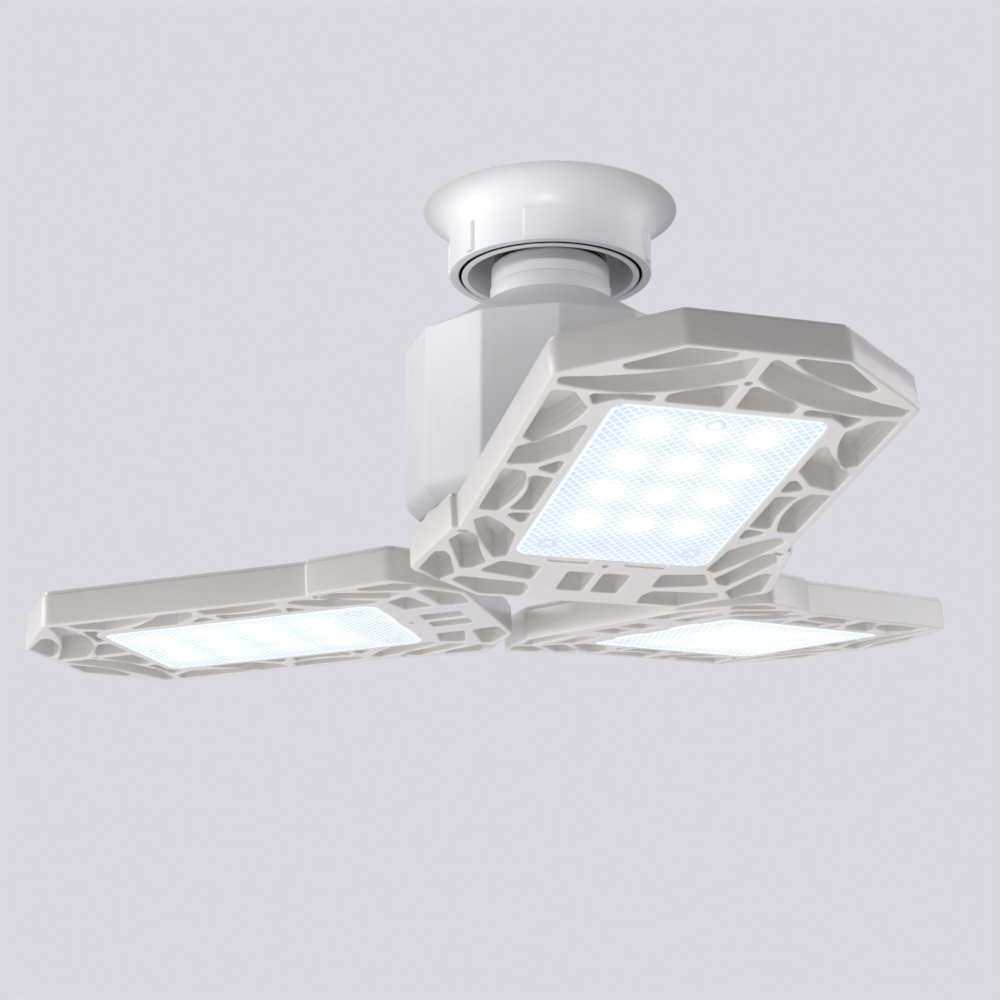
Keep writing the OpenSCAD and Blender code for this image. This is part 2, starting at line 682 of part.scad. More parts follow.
module driver_transformer() {
    y = driver_y - driver_t / 2 - transformer[1] - bobbin[1];
    color("gold") translate([transformer_at[0], y, driver_bottom + transformer_at[1]]) {
        translate([0, bobbin[1], 0]) cube(transformer);
        translate([(transformer[0] - bobbin[0]) / 2, 0, (transformer[2] - bobbin[2]) / 2])
            cube([bobbin[0], bobbin[1] + eps, bobbin[2]]);
    }
}

module driver_capacitors() {
    color("navy") for (i = [0, 1]) let (c = capacitors[i], side = 2 * i - 1)
        translate([c[0], driver_y + side * driver_t / 2, driver_bottom + c[1]]) rotate([-side * 90, 0, 0])
            cylinder(r = c[2], h = c[3]);
}

module driver_chips() {
    color("black") for (at = chips)
        translate([at[0], driver_y + driver_t / 2, driver_bottom + at[1]]) cube([6, 2, 5]);
}

// Two wires from the cap down to the driver board
module supply_leads() {
    color("red") {
        translate([lead_x, 0, driver_bottom + driver_h])
            cylinder(r = lead_r, h = insulator_top - driver_bottom - driver_h);
        translate([-core_r + shell_wall + lead_r, 0, driver_bottom + driver_h])
            cylinder(r = lead_r, h = neck_top - driver_bottom - driver_h + 6);
        for (x = [lead_x, -core_r + shell_wall + lead_r])
            translate([x - lead_r, -lead_r, driver_bottom + driver_h])
                cube([2 * lead_r, driver_y + 1.7, 1.6]);
    }
}

// A pair of wires to each hinge, from the driver board down through the hub's floor
module hub_leads() {
    color("red") for (p = PANELS) rotate([0, 0, p[1] - 90])
        translate([0, hinge_r + lead_y, hub_bottom - bracket_t - 1]) cylinder(r = lead_pair_r, h = 10);
}

// --- hinges ---
module hinge_bracket() {
    color("silver") difference() {
        union() {
            translate([-bracket_w / 2, -bracket_in, hinge_drop - bracket_t])
                cube([bracket_w, bracket_in + bracket_out, bracket_t]);
            for (s = [-1, 1]) translate([s * (ear_x + ear_t / 2) - ear_t / 2, 0, 0]) {
                along_x() cylinder(r = knuckle_r, h = ear_t);
                translate([0, -knuckle_r, 0]) cube([ear_t, 2 * knuckle_r, hinge_drop - eps]);
            }
        }
        translate([-bracket_w, 0, 0]) along_x() cylinder(r = bore_pin_r, h = 2 * bracket_w);
        for (s = [-1, 1]) translate([s * bracket_screw[0], bracket_screw[1], hinge_drop - bracket_t - 1])
            cylinder(r = small_shank_r + screw_gap, h = bracket_t + 2);
        translate([0, lead_y, hinge_drop - bracket_t - 1])
            cylinder(r = lead_pair_r + 0.3, h = bracket_t + 2);
    }
}

module hinge_pin() {
    grip = ear_x + ear_t;
    color("silver") {
        translate([-grip - nut_t - 0.6, 0, 0]) along_x() cylinder(r = pin_r, h = 2 * grip + nut_t + 0.6);
        translate([grip, 0, 0]) along_x() cylinder(r = head_r, h = head_t);
    }
}

module hinge_nuts() {
    color("silver") for (p = PANELS) at_hinge(p[1]) translate([-ear_x - ear_t - nut_t, 0, 0]) along_x()
        difference() {
            cylinder(r = nut_r, h = nut_t, $fn = 6);
            translate([0, 0, -1]) cylinder(r = bore_pin_r, h = nut_t + 2);
        }
}

// Spring washers between each ear and the knuckle, which hold a panel where it is put
module friction_washers() {
    color("dimgray") for (p = PANELS) at_hinge(p[1]) for (s = [-1, 1])
        translate([s * (knuckle_w / 2 + ear_gap - washer_t / 2) - washer_t / 2, 0, 0]) along_x()
            tube(knuckle_r - 0.6, bore_pin_r, washer_t);
}

module bracket_screws() {
    color("silver") for (p = PANELS) at_hinge(p[1]) for (s = [-1, 1])
        translate([s * bracket_screw[0], bracket_screw[1], hinge_drop - bracket_t])
            screw(small_shank_r, bracket_t + hub_floor, small_head_r, small_head_t);
}

// --- panels, in the hinge's own frame ---
module frame() {
    color("whitesmoke") difference() {
        union() {
            translate([0, 0, rim_z]) linear_extrude(height = frame_h - floor_t + eps) difference() {
                polygon(panel_outline(0));
                pockets_plan();
                lens_plan(-ledge);
            }
            translate([0, 0, floor_bottom]) linear_extrude(height = floor_t) polygon(panel_outline(0));
        }
        translate([0, 0, rim_z - eps]) linear_extrude(height = lens_t + eps) lens_plan(lens_gap);
        for (at = board_screw_at) translate([at[0], at[1], floor_bottom - 1])
            cylinder(r = small_shank_r + screw_gap, h = floor_t + 2);
        for (s = [-1, 1]) translate([s * leaf_screw[0], leaf_screw[1], floor_bottom - 1])
            cylinder(r = small_shank_r + screw_gap, h = floor_t + 2);
        for (y = [grid_y(grid_hole_y), lens_start - pin_hole_in]) translate([0, y, rim_z - eps])
            cylinder(r = pin_hole_r, h = pin_hole_h);
        for (s = [0, 1]) mirror([s, 0, 0]) {
            translate([slit_at[0], slit_at[1], rim_z + slit[2] / 2 - eps]) rotate([0, 0, slit_turn])
                cube(slit, center = true);
            translate([low_step_x, lens_start - low_step[1], rim_z - 1])
                cube([low_step[0], low_step[1] + lens_gap + eps, low_step[2] + 1]);
        }
        translate([0, lens_start + lead_in, floor_bottom - 1]) cylinder(r = lead_pair_r, h = floor_t + 2);
    }
}

module lens() {
    color([0.9, 0.95, 1, 0.6]) translate([0, 0, rim_z]) linear_extrude(height = lens_t) lens_plan(0);
}

module led_board() {
    color("aliceblue") difference() {
        translate([-board_w / 2, lens_mid - board_l / 2, board_bottom]) cube([board_w, board_l, board_t]);
        for (at = board_screw_at) translate([at[0], at[1], board_bottom - 1])
            cylinder(r = small_shank_r + screw_gap, h = board_t + 2);
    }
}

module leds() {
    color("lightyellow") for (i = [0:led_columns - 1], j = [0:led_rows - 1])
        translate([(i - (led_columns - 1) / 2) * led_pitch_x,
                   lens_mid + (j - (led_rows - 1) / 2) * led_pitch_y, board_bottom]) {
            translate([-led_size / 2, -led_size / 2, -led_body_t])
                cube([led_size, led_size, led_body_t]);
            translate([0, 0, -led_body_t - 0.6]) cylinder(r = led_dome_r, h = 0.6 + eps);
        }
}

module board_screws() {
    color("silver") for (at = board_screw_at) translate([at[0], at[1], board_bottom])
        screw(small_shank_r, board_t + floor_t + back_cover_t + 1.2, small_head_r, small_head_t);
}

module back_cover() {
    color("whitesmoke") difference() {
        union() {
            translate([0, 0, floor_top]) linear_extrude(height = back_cover_t)
                polygon(panel_outline(cover_inset));
            for (at = board_screw_at) translate([at[0], at[1], -back_drop - eps])
                linear_extrude(height = boss_pad_t + eps)
                    polygon(rounded([for (c = [[-1, -1], [1, -1], [1, 1], [-1, 1]])
                        [c[0] * boss_pad[0] / 2, c[1] * boss_pad[1] / 2]], 3, arc_steps));
        }
        for (at = board_screw_at) translate([at[0], at[1], floor_top - 1])
            cylinder(r = small_shank_r + screw_gap, h = back_cover_t + 2.5);
        for (s = [-1, 1]) translate([s * leaf_screw[0], leaf_screw[1], floor_top - 1])
            cylinder(r = small_shank_r + screw_gap, h = back_cover_t + 2);
        translate([0, lens_start + lead_in, floor_top - 1])
            cylinder(r = lead_pair_r, h = back_cover_t + 2);
    }
}

module hinge_leaf() {
    color("silver") difference() {
        union() {
            translate([-knuckle_w / 2, -leaf_in, -back_drop])
                cube([knuckle_w, leaf_in + leaf_out, leaf_t]);
            translate([-knuckle_w / 2, 0, 0]) along_x() cylinder(r = knuckle_r, h = knuckle_w);
            translate([-knuckle_w / 2, -knuckle_r, -back_drop])
                cube([knuckle_w, 2 * knuckle_r, back_drop]);
        }
        translate([-knuckle_w, 0, 0]) along_x() cylinder(r = bore_pin_r, h = 2 * knuckle_w);
        for (s = [-1, 1]) translate([s * leaf_screw[0], leaf_screw[1], -back_drop - 1])
            cylinder(r = small_shank_r + screw_gap, h = leaf_t + 2);
    }
}

module leaf_screws() {
    color("silver") for (s = [-1, 1])
        translate([s * leaf_screw[0], leaf_screw[1], -back_drop + leaf_t]) rotate([180, 0, 0])
            screw(small_shank_r, leaf_t + back_cover_t + floor_t, small_head_r, small_head_t);
}

// The pair of wires that comes through the back to the board
module panel_lead() {
    color("red") translate([0, lens_start + lead_in, floor_bottom])
        cylinder(r = lead_pair_r - 0.1, h = floor_t + back_cover_t + 2);
}

// --- the assembly ---
holder_base();
holder_cover();
holder_collar();
holder_screws();
socket_barrel();
barrel_rivets();
screw_shell();
neutral_strap();
centre_contact();
terminal_blocks();
cap_shell();
cap_insulator();
cap_contact();
neck();
housing();
driver_board();
driver_transformer();
driver_capacitors();
driver_chips();
supply_leads();
hub();
hub_screws();
bracket_screws();
hinge_nuts();
friction_washers();
hub_leads();
for (p = PANELS) {
    at_hinge(p[1]) hinge_bracket();
    at_hinge(p[1]) hinge_pin();
    at_hinge(p[1], p[2]) frame();
    at_hinge(p[1], p[2]) lens();
    at_hinge(p[1], p[2]) led_board();
    at_hinge(p[1], p[2]) leds();
    at_hinge(p[1], p[2]) back_cover();
    at_hinge(p[1], p[2]) hinge_leaf();
    at_hinge(p[1], p[2]) board_screws();
    at_hinge(p[1], p[2]) leaf_screws();
    at_hinge(p[1], p[2]) panel_lead();
}
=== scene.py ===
import bmesh
import bpy
import numpy as np
from mathutils import Matrix, Vector
from mathutils.geometry import tessellate_polygon


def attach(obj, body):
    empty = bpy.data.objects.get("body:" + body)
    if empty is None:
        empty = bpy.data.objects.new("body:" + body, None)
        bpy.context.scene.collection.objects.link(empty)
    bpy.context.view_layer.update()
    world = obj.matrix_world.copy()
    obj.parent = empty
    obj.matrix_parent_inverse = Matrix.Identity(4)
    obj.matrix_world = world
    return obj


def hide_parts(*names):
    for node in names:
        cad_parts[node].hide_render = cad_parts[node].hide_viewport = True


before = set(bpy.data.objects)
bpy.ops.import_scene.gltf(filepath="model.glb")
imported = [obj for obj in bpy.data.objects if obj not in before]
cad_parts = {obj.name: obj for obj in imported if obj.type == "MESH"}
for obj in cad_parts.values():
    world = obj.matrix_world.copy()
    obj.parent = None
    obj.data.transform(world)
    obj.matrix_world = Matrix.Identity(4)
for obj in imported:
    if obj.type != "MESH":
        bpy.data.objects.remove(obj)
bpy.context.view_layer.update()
print("frame loaded")

# Sizes are in millimetres and angles in degrees, as in the CAD source. Meshes are made in metres.
mm = 0.001
heights = {
    "coverBottom": -22.2, "neckTop": -19.0, "neckBottom": -32.2, "housingTop": -47.8, "hubTop": -103.8,
    "hinge": -117.5,
}
hingeRadius = 29.5
panels = {"front": (-90, 11.8), "left": (150, -3.4), "right": (30, 5)}  # azimuth and tilt


# A socket that takes part in shader arithmetic
class Signal:
    def __init__(self, tree, socket):
        self.tree = tree
        self.socket = socket

    def node(self, kind, inputs, output=0, **settings):
        made = self.tree.nodes.new(kind)
        for key, value in settings.items():
            setattr(made, key, value)
        for slot, value in inputs.items():
            if isinstance(value, Signal):
                self.tree.links.new(value.socket, made.inputs[slot])
            else:
                made.inputs[slot].default_value = value
        return Signal(self.tree, made.outputs[output])

    def math(self, operation, *others):
        terms = (self,) + others
        return self.node("ShaderNodeMath", dict(enumerate(terms)), operation=operation)

    def __add__(self, other):
        return self.math("ADD", other)

    def __sub__(self, other):
        return self.math("SUBTRACT", other)

    def __rsub__(self, other):
        return (self * -1) + other

    def __mul__(self, other):
        return self.math("MULTIPLY", other)

    def __truediv__(self, other):
        return self.math("DIVIDE", other)

    __radd__ = __add__
    __rmul__ = __mul__

    def noise(self, scale, detail=3.0, roughness=0.5):
        return self.node("ShaderNodeTexNoise", {"Vector": self, "Scale": scale, "Detail": detail,
                                                "Roughness": roughness})

    def stretched(self, factors):
        return self.node("ShaderNodeMapping", {"Vector": self, "Scale": factors})

    def ramp(self, low, high, start=0.0, end=1.0):
        limits = {"Value": self, "From Min": low, "From Max": high, "To Min": start, "To Max": end}
        return self.node("ShaderNodeMapRange", limits, interpolation_type="SMOOTHSTEP")

    # The signal is the share of the second colour. Each colour is a signal, or red, green and blue.
    def colours(self, *ends):
        first, second = [end if isinstance(end, Signal) else colour(*end) for end in ends]
        return self.node("ShaderNodeMix", {0: self, 6: first, 7: second}, output=2, data_type="RGBA")

    # The three parts of a vector
    def split(self):
        parts = self.node("ShaderNodeSeparateXYZ", {"Vector": self}).socket.node
        return [Signal(self.tree, parts.outputs[axis]) for axis in "XYZ"]


def colour(red, green, blue):
    return (red, green, blue, 1.0)


class Finish:
    def __init__(self, name):
        self.material = bpy.data.materials.new(name)
        self.material.use_nodes = True
        self.tree = self.material.node_tree
        self.shader = self.tree.nodes["Principled BSDF"]
        coordinates = self.tree.nodes.new("ShaderNodeTexCoord")
        self.place = Signal(self.tree, coordinates.outputs["Object"])
        self.plan = Signal(self.tree, coordinates.outputs["UV"])

    def set(self, **values):
        for key, value in values.items():
            socket = self.shader.inputs[key.replace("_", " ")]
            if isinstance(value, Signal):
                self.tree.links.new(value.socket, socket)
            else:
                socket.default_value = value

    # The distance is in metres
    def bump(self, height, strength, distance):
        inputs = {"Height": height, "Strength": strength, "Distance": distance}
        node = self.place.node("ShaderNodeBump", inputs, output="Normal")
        self.tree.links.new(node.socket, self.shader.inputs["Normal"])


plasticLook = {
    "toneScale": 38, "flowScale": 160, "flowStretch": (1, 1, 0.35), "grainSize": 0.45, "grainDepth": 0.00006,
    "coatRough": 0.2, "depthShare": 0.35, "depthTint": (1.0, 0.88, 0.76),
    # painted shadow: the near-black colour and the softness of its edge, for the walls of a ring-shaped gap
    "paintedGapShadowColour": (0.012, 0.011, 0.012), "paintedGapShadowSoft": 0.08,
}


# Moulded plastic: a slow change of tone, a faint flow mark and a fine grain. The coat is the gloss of its
# skin, and the depth is how far light goes in, in metres. A gap, when given, is painted shadow: the walls of
# that ring-shaped gap are coloured near black.
def plastic(name, light, dark, rough, grain=0.12, coat=0.0, gap=None, depth=0.0):
    look = plasticLook
    made = Finish(name)
    slow = made.place.noise(look["toneScale"], 4, 0.55)
    flow = made.place.stretched(look["flowStretch"]).noise(look["flowScale"], 3, 0.6)
    fine = made.place.noise(1000 / look["grainSize"], 2, 0.6)
    base = (slow * 0.7 + flow * 0.3).ramp(0.36, 0.66).colours(light, dark)
    if gap:
        # painted shadow: the walls of the gap turn near black
        base = paintedGapShadowMask(made, *gap).colours(base, look["paintedGapShadowColour"])
    dullness = (slow * 0.5 + fine * 0.5).ramp(0.3, 0.7, rough - 0.05, rough + 0.07)
    made.set(Base_Color=base, Roughness=dullness, IOR=1.5, Coat_Weight=coat, Coat_Roughness=look["coatRough"])
    if depth:
        made.set(Subsurface_Weight=look["depthShare"], Subsurface_Radius=look["depthTint"],
                 Subsurface_Scale=depth)
    made.bump(fine + flow * 0.6, grain, look["grainDepth"])
    return made.material


# Painted shadow: one in the walls of a ring-shaped gap, between two radii and above a height, where the
# colour is darkened to near black in place of the gap's shade
def paintedGapShadowMask(made, inner, outer, low):
    soft = plasticLook["paintedGapShadowSoft"]
    across, along, up = [part * 1000 for part in made.place.split()]
    radius = (across * across + along * along).math("SQRT")
    return (radius.ramp(inner - soft, inner + soft) * radius.ramp(outer - soft, outer + soft, 1.0, 0.0)
            * up.ramp(low - 0.1, low + 0.1))


metalLook = {"grainScale": 900, "grainDepth": 0.00005, "grain": 0.18, "tarnishScale": 220}


# Bare metal with a fine directional grain and darker tarnish
def metal(name, bright, dull, rough, stretch=(1, 1, 9)):
    look = metalLook
    made = Finish(name)
    brushed = made.place.stretched(stretch).noise(look["grainScale"], 4, 0.65)
    tarnish = made.place.noise(look["tarnishScale"], 5, 0.6)
    made.set(Base_Color=tarnish.ramp(0.42, 0.68).colours(bright, dull), Metallic=1.0,
             Roughness=(brushed * 0.6 + tarnish * 0.4).ramp(0.3, 0.7, rough - 0.08, rough + 0.12))
    made.bump(brushed, look["grain"], look["grainDepth"])
    return made.material


finishes = {
    # the walls of the gap between the cover and the collar get painted shadow
    "holder_white": plastic("holderWhite", (0.86, 0.86, 0.87), (0.83, 0.83, 0.845), 0.34, 0.1,
                            gap=(28.45, 29.55, heights["coverBottom"])),
    "body_white": plastic("bodyWhite", (0.82, 0.82, 0.83), (0.79, 0.79, 0.80), 0.38, 0.12),
    "hub_white": plastic("hubWhite", (0.74, 0.74, 0.75), (0.70, 0.70, 0.71), 0.42, 0.14),
    "panel_plastic": plastic("panelPlastic", (0.80, 0.785, 0.77), (0.77, 0.75, 0.73), 0.34, 0.14,
                             coat=0.6, depth=0.0015),
    "barrel_brown": plastic("barrelBrown", (0.055, 0.03, 0.02), (0.14, 0.075, 0.04), 0.35, 0.2, coat=0.8),
    "black_insulator": plastic("blackInsulator", (0.02, 0.02, 0.022), (0.035, 0.034, 0.034), 0.4),
    "bright_brass": metal("brightBrass", (0.85, 0.62, 0.28), (0.62, 0.42, 0.18), 0.26),
    "cap_metal": metal("capMetal", (0.78, 0.77, 0.75), (0.60, 0.59, 0.57), 0.28, (1, 1, 6)),
    "bracket_steel": metal("bracketSteel", (0.62, 0.63, 0.64), (0.48, 0.49, 0.50), 0.34, (9, 1, 1)),
    "screw_steel": metal("screwSteel", (0.68, 0.68, 0.68), (0.50, 0.50, 0.51), 0.28, (1, 1, 3)),
    "spring_steel": metal("springSteel", (0.36, 0.36, 0.38), (0.26, 0.26, 0.27), 0.36, (3, 3, 1)),
    "wire_red": plastic("wireRed", (0.62, 0.05, 0.04), (0.50, 0.035, 0.03), 0.38, 0.1),
}


# Starts a finish whose colour and roughness follow one slow noise
def toned(name, scale, first, second, smooth, dull, detail=4):
    made = Finish(name)
    tone = made.place.noise(scale, detail)
    made.set(Roughness=tone.ramp(0.3, 0.7, smooth, dull))
    return made, tone, tone.ramp(0.3, 0.7).colours(first, second)


# Solder resist over a faint net of tracks
def circuitGreen():
    made, _, ground = toned("circuitGreen", 90, (0.008, 0.09, 0.032), (0.012, 0.13, 0.05), 0.26, 0.36)
    upright = made.place.node("ShaderNodeMapping", {"Vector": made.place, "Rotation": (1.5708, 0, 0)})
    net = {"Vector": upright, "Scale": 260.0, "Mortar Size": 0.09}
    tracks = made.place.node("ShaderNodeTexBrick", net, output="Fac")
    made.set(Base_Color=tracks.colours(ground, (0.03, 0.24, 0.1)))
    made.bump(tracks, 0.3, 0.00004)
    return made.material


# Yellow tape whose turns show as soft bands
def transformerYellow():
    made, _, tape = toned("transformerYellow", 140, (0.78, 0.55, 0.06), (0.66, 0.44, 0.04), 0.3, 0.42)
    turns = {"Vector": made.place, "Scale": 330.0, "Distortion": 1.2, "Detail": 2.0}
    wound = made.place.node("ShaderNodeTexWave", turns, output="Fac", bands_direction="Z")
    made.set(Base_Color=(wound * 0.25).colours(tape, (0.5, 0.3, 0.03)))
    made.bump(wound, 0.25, 0.00008)
    return made.material


# Dark blue sleeve with a pale stripe
def capacitorSleeve():
    made, tone, sleeve = toned("capacitorSleeve", 180, (0.012, 0.018, 0.075), (0.02, 0.028, 0.11), 0.22, 0.34)
    band = made.place.node("ShaderNodeTexWave", {"Vector": made.place, "Scale": 60.0}, output="Fac",
                           bands_direction="X")
    made.set(Base_Color=band.ramp(0.86, 0.94).colours(sleeve, (0.55, 0.56, 0.6)))
    made.bump(tone, 0.1, 0.00005)
    return made.material


# White lacquer over metal, slightly uneven
def boardWhite():
    made, _, lacquer = toned("boardWhite", 120, (0.86, 0.88, 0.9), (0.79, 0.81, 0.84), 0.3, 0.42)
    made.set(Base_Color=lacquer)
    weave = made.place.node("ShaderNodeTexVoronoi", {"Vector": made.place, "Scale": 420.0}, output="Distance")
    made.bump(weave, 0.12, 0.00004)
    return made.material


glow = {"strength": 1.1, "edge": (0.93, 0.96, 1.0), "middle": (1.0, 1.0, 0.98)}


# The emitters are lit, in a cool white that varies a little
def ledGlow():
    made, tone, light = toned("ledGlow", 500, glow["edge"], glow["middle"], 0.25, 0.4, detail=3)
    made.set(Base_Color=colour(0.9, 0.9, 0.82), Emission_Color=light, Emission_Strength=glow["strength"])
    made.bump(tone, 0.08, 0.00003)
    return made.material


finishes.update(circuit_green=circuitGreen(), transformer_yellow=transformerYellow(),
                capacitor_sleeve=capacitorSleeve(), board_white=boardWhite(), led_glow=ledGlow())
print("finishes made")


# Four-sided faces over a block of points stored row by row
def gridFaces(rows, columns, start, closed=True, joined=False):
    i, j = np.meshgrid(np.arange(rows if joined else rows - 1), np.arange(columns if closed else columns - 1),
                       indexing="ij")
    beside = (j + 1) % columns
    above = (i + 1) % rows
    corners = [i * columns + j, i * columns + beside, above * columns + beside, above * columns + j]
    return (start + np.stack(corners, -1).reshape(-1, 4)).tolist()


# Points and faces of a piece. A block that it starts from is a closed skin, joined all the way round.
class Shape:
    def __init__(self, *closed):
        self.blocks = []
        self.faces = []
        self.size = 0
        for block in closed:
            self.rings(block, joined=True)

    def add(self, points):
        start = self.size
        self.blocks.append(np.asarray(points, float).reshape(-1, 3))
        self.size += len(self.blocks[-1])
        return start

    # Rings of equal length, each joined to the next, and the last to the first when joined
    def rings(self, block, firstEnd=False, lastEnd=False, joined=False):
        rows, columns = block.shape[:2]
        start = self.add(block)
        self.faces += gridFaces(rows, columns, start, joined=joined)
        if firstEnd:
            self.faces.append(list(range(start, start + columns)))
        if lastEnd:
            last = start + (rows - 1) * columns
            self.faces.append(list(range(last, last + columns)))

    # A flat face with holes in it
    def plate(self, loops, height):
        corners = [[Vector((x, y, 0)) for x, y in loop] for loop in loops]
        flat = np.vstack(loops)
        start = self.add(np.column_stack([flat, np.full(len(flat), height)]))
        self.faces += [[start + k for k in face] for face in tessellate_polygon(corners)]

    def points(self):
        return np.vstack(self.blocks)


# Makes a piece that stands for one CAD node. Edges sharper than the angle stay sharp.
def place(name, shape, slot, body, node, matrix=None, sharp=32):
    points = shape.points()
    if matrix is not None:
        turn = np.array(matrix)
        points = points @ turn[:3, :3].T + turn[:3, 3]
    mesh = bpy.data.meshes.new(name)
    mesh.from_pydata((points * mm).tolist(), [], shape.faces)
    joined = bmesh.new()
    joined.from_mesh(mesh)
    bmesh.ops.remove_doubles(joined, verts=joined.verts, dist=1e-6)
    bmesh.ops.recalc_face_normals(joined, faces=joined.faces)
    joined.to_mesh(mesh)
    joined.free()
    mesh.shade_smooth()
    mesh.set_sharp_from_angle(angle=np.radians(sharp))
    mesh.materials.append(finishes[slot])
    piece = bpy.data.objects.new(name, mesh)
    bpy.context.collection.objects.link(piece)
    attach(piece, body)
    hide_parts(node)
    return piece


# Takes the hinge's frame to its place: tilted, moved out from the axis, turned to its azimuth and lowered
def hingeMatrix(azimuth, tilt):
    return (Matrix.Translation((0, 0, heights["hinge"])) @ Matrix.Rotation(np.radians(azimuth - 90), 4, "Z")
            @ Matrix.Translation((0, hingeRadius, 0)) @ Matrix.Rotation(np.radians(tilt), 4, "X"))


# Points of a profile turned about the lamp's axis, one ring for each profile point: the radius times the
# cosine and the sine of the angle, at the profile point's height
def turned(profile, count=144, angles=None):
    a = np.radians(np.arange(count) * 360 / count if angles is None else angles)
    r, z = np.asarray(profile, float).T
    return np.stack([r[:, None] * np.cos(a), r[:, None] * np.sin(a), z[:, None] + 0 * a], -1)


# Points of a circle's arc about a centre, from angle start to end
def arc(x, y, radius, start, end, steps=5):
    a = np.radians(np.linspace(start, end, steps + 1))
    return np.column_stack([x + radius * np.cos(a), y + radius * np.sin(a)])


# Zero below the low value and one above the high one, with a smooth cubic between them
def softStep(x, low, high):
    t = np.clip((x - low) / (high - low), 0, 1)
    return t * t * (3 - 2 * t)


# One edge of an outline. The bow is its rise over half its chord, to the left when positive.
class Edge:
    def __init__(self, p, q, bow):
        self.p, self.q, self.bow = np.array(p, float), np.array(q, float), bow
        along = self.q - self.p
        chord = np.hypot(*along)
        self.left = np.array([-along[1], along[0]]) / chord
        self.turn = -4 * np.arctan(bow)
        if bow:
            self.radius = chord * (1 + bow * bow) / (4 * bow)
            self.centre = (self.p + self.q) / 2 + self.left * (bow * chord / 2 - self.radius)
            self.length = abs(self.radius * self.turn)
        else:
            self.length = chord

    # Points at shares s of the edge, and the directions to their left
    def at(self, s):
        s = np.atleast_1d(s).astype(float)
        if not self.bow:
            return self.p + s[:, None] * (self.q - self.p), np.tile(self.left, (len(s), 1))
        v = self.p - self.centre
        a = self.turn * s
        spoke = np.column_stack([v[0] * np.cos(a) - v[1] * np.sin(a), v[0] * np.sin(a) + v[1] * np.cos(a)])
        return self.centre + spoke, spoke / self.radius


outlineRule = {"arcStep": 6, "inwardShare": 0.85}


# The outline of corners (x, y, bow of the edge that leaves, radius), once for each offset. Offsets are
# inwards when positive, corners run anticlockwise, and every outline has the same number of points. A corner
# is a rational quadratic curve between its trimmed edges, with its middle point on the mitre, weighted by the
# sine of half the corner's angle, which makes it a circle's arc.
def outlines(corners, offsets, share=0.45, steps=5):
    n = len(corners)
    edges = [Edge(corners[i][:2], corners[(i + 1) % n][:2], corners[i][2]) for i in range(n)]
    trims, halves, mitres, room = [], [], [], [np.inf]
    for i in range(n):
        before, after = edges[i - 1], edges[i]
        a = before.at(1)[1][0]
        b = after.at(0)[1][0]
        half = (np.pi - np.arccos(np.clip(a @ b, -1, 1))) / 2
        trim = min(corners[i][3] / np.tan(half), share * before.length, share * after.length)
        trims.append(trim)
        halves.append(half)
        mitres.append((a + b) / (1 + a @ b))
        if a[0] * b[1] - a[1] * b[0] > 0:
            room.append(trim * np.tan(half) * outlineRule["inwardShare"])
    made = []
    for offset in offsets:
        d = min(offset, min(room))
        runs = []
        for i, edge in enumerate(edges):
            count = 2 + int(abs(edge.turn) / np.radians(outlineRule["arcStep"]))
            s = np.linspace(trims[i] / edge.length, 1 - trims[(i + 1) % n] / edge.length, count)
            on, left = edge.at(s)
            runs.append(on + d * left)
        loop = []
        for i in range(n):
            k = (i + 1) % n
            a, b = runs[i][-1], runs[k][0]
            c = np.array(corners[k][:2], float) + d * mitres[k]
            weight = np.sin(halves[k])
            t = (np.arange(1, steps + 1) / (steps + 1))[:, None]
            mix = (1 - t) ** 2 * a + 2 * t * (1 - t) * weight * c + t ** 2 * b
            loop += [runs[i], mix / ((1 - t) ** 2 + 2 * t * (1 - t) * weight + t ** 2)]
        made.append(np.vstack(loop))
    return np.array(made)


# Puts each loop at its own level
def withHeights(loops, levels):
    level = np.asarray(levels, float)[:, None, None] + np.zeros(loops.shape[:2] + (1,))
    return np.concatenate([loops, level], 2)


# The loops on the other side of the middle line, with the same turning sense
def mirrored(loops):
    return loops[:, ::-1] * np.array([-1.0, 1.0])


# Adds the mirror image of a half outline's corners, and so closes it
def bothSides(right):
    return right + [(-x, y, bow, radius) for x, y, bow, radius in right[::-1]]


# Corners of a rectangle on the middle line, whose middle is at a distance from the hinge
def rectangle(width, length, middle, radius):
    w, l = width / 2, length / 2
    return [(-w, middle - l, 0, radius), (w, middle - l, 0, radius), (w, middle + l, 0, radius),
            (-w, middle + l, 0, radius)]


# The lampholder stays on the ceiling
cover = {
    "rimRadius": 41.0, "skirtRadius": 32.5, "wall": 1.8, "skirtHeight": 11.3, "ridges": 3, "ridgeAzimuth": 82,
    "ridgeWidth": 3.0, "ridgeOut": 1.0, "padSpan": 50, "padOut": 0.4, "lip": 1.25, "lipHeight": 6.0,
    "edge": 0.4, "rimEdge": 0.3, "mouth": 35.2, "insideTop": -4.6,
    "hook": [[30.7, -4.4], [33.2, -4.4], [33.3, -4.3], [33.3, -3.1], [33.2, -3.0], [30.8, -3.0],
             [30.7, -3.1]],
}


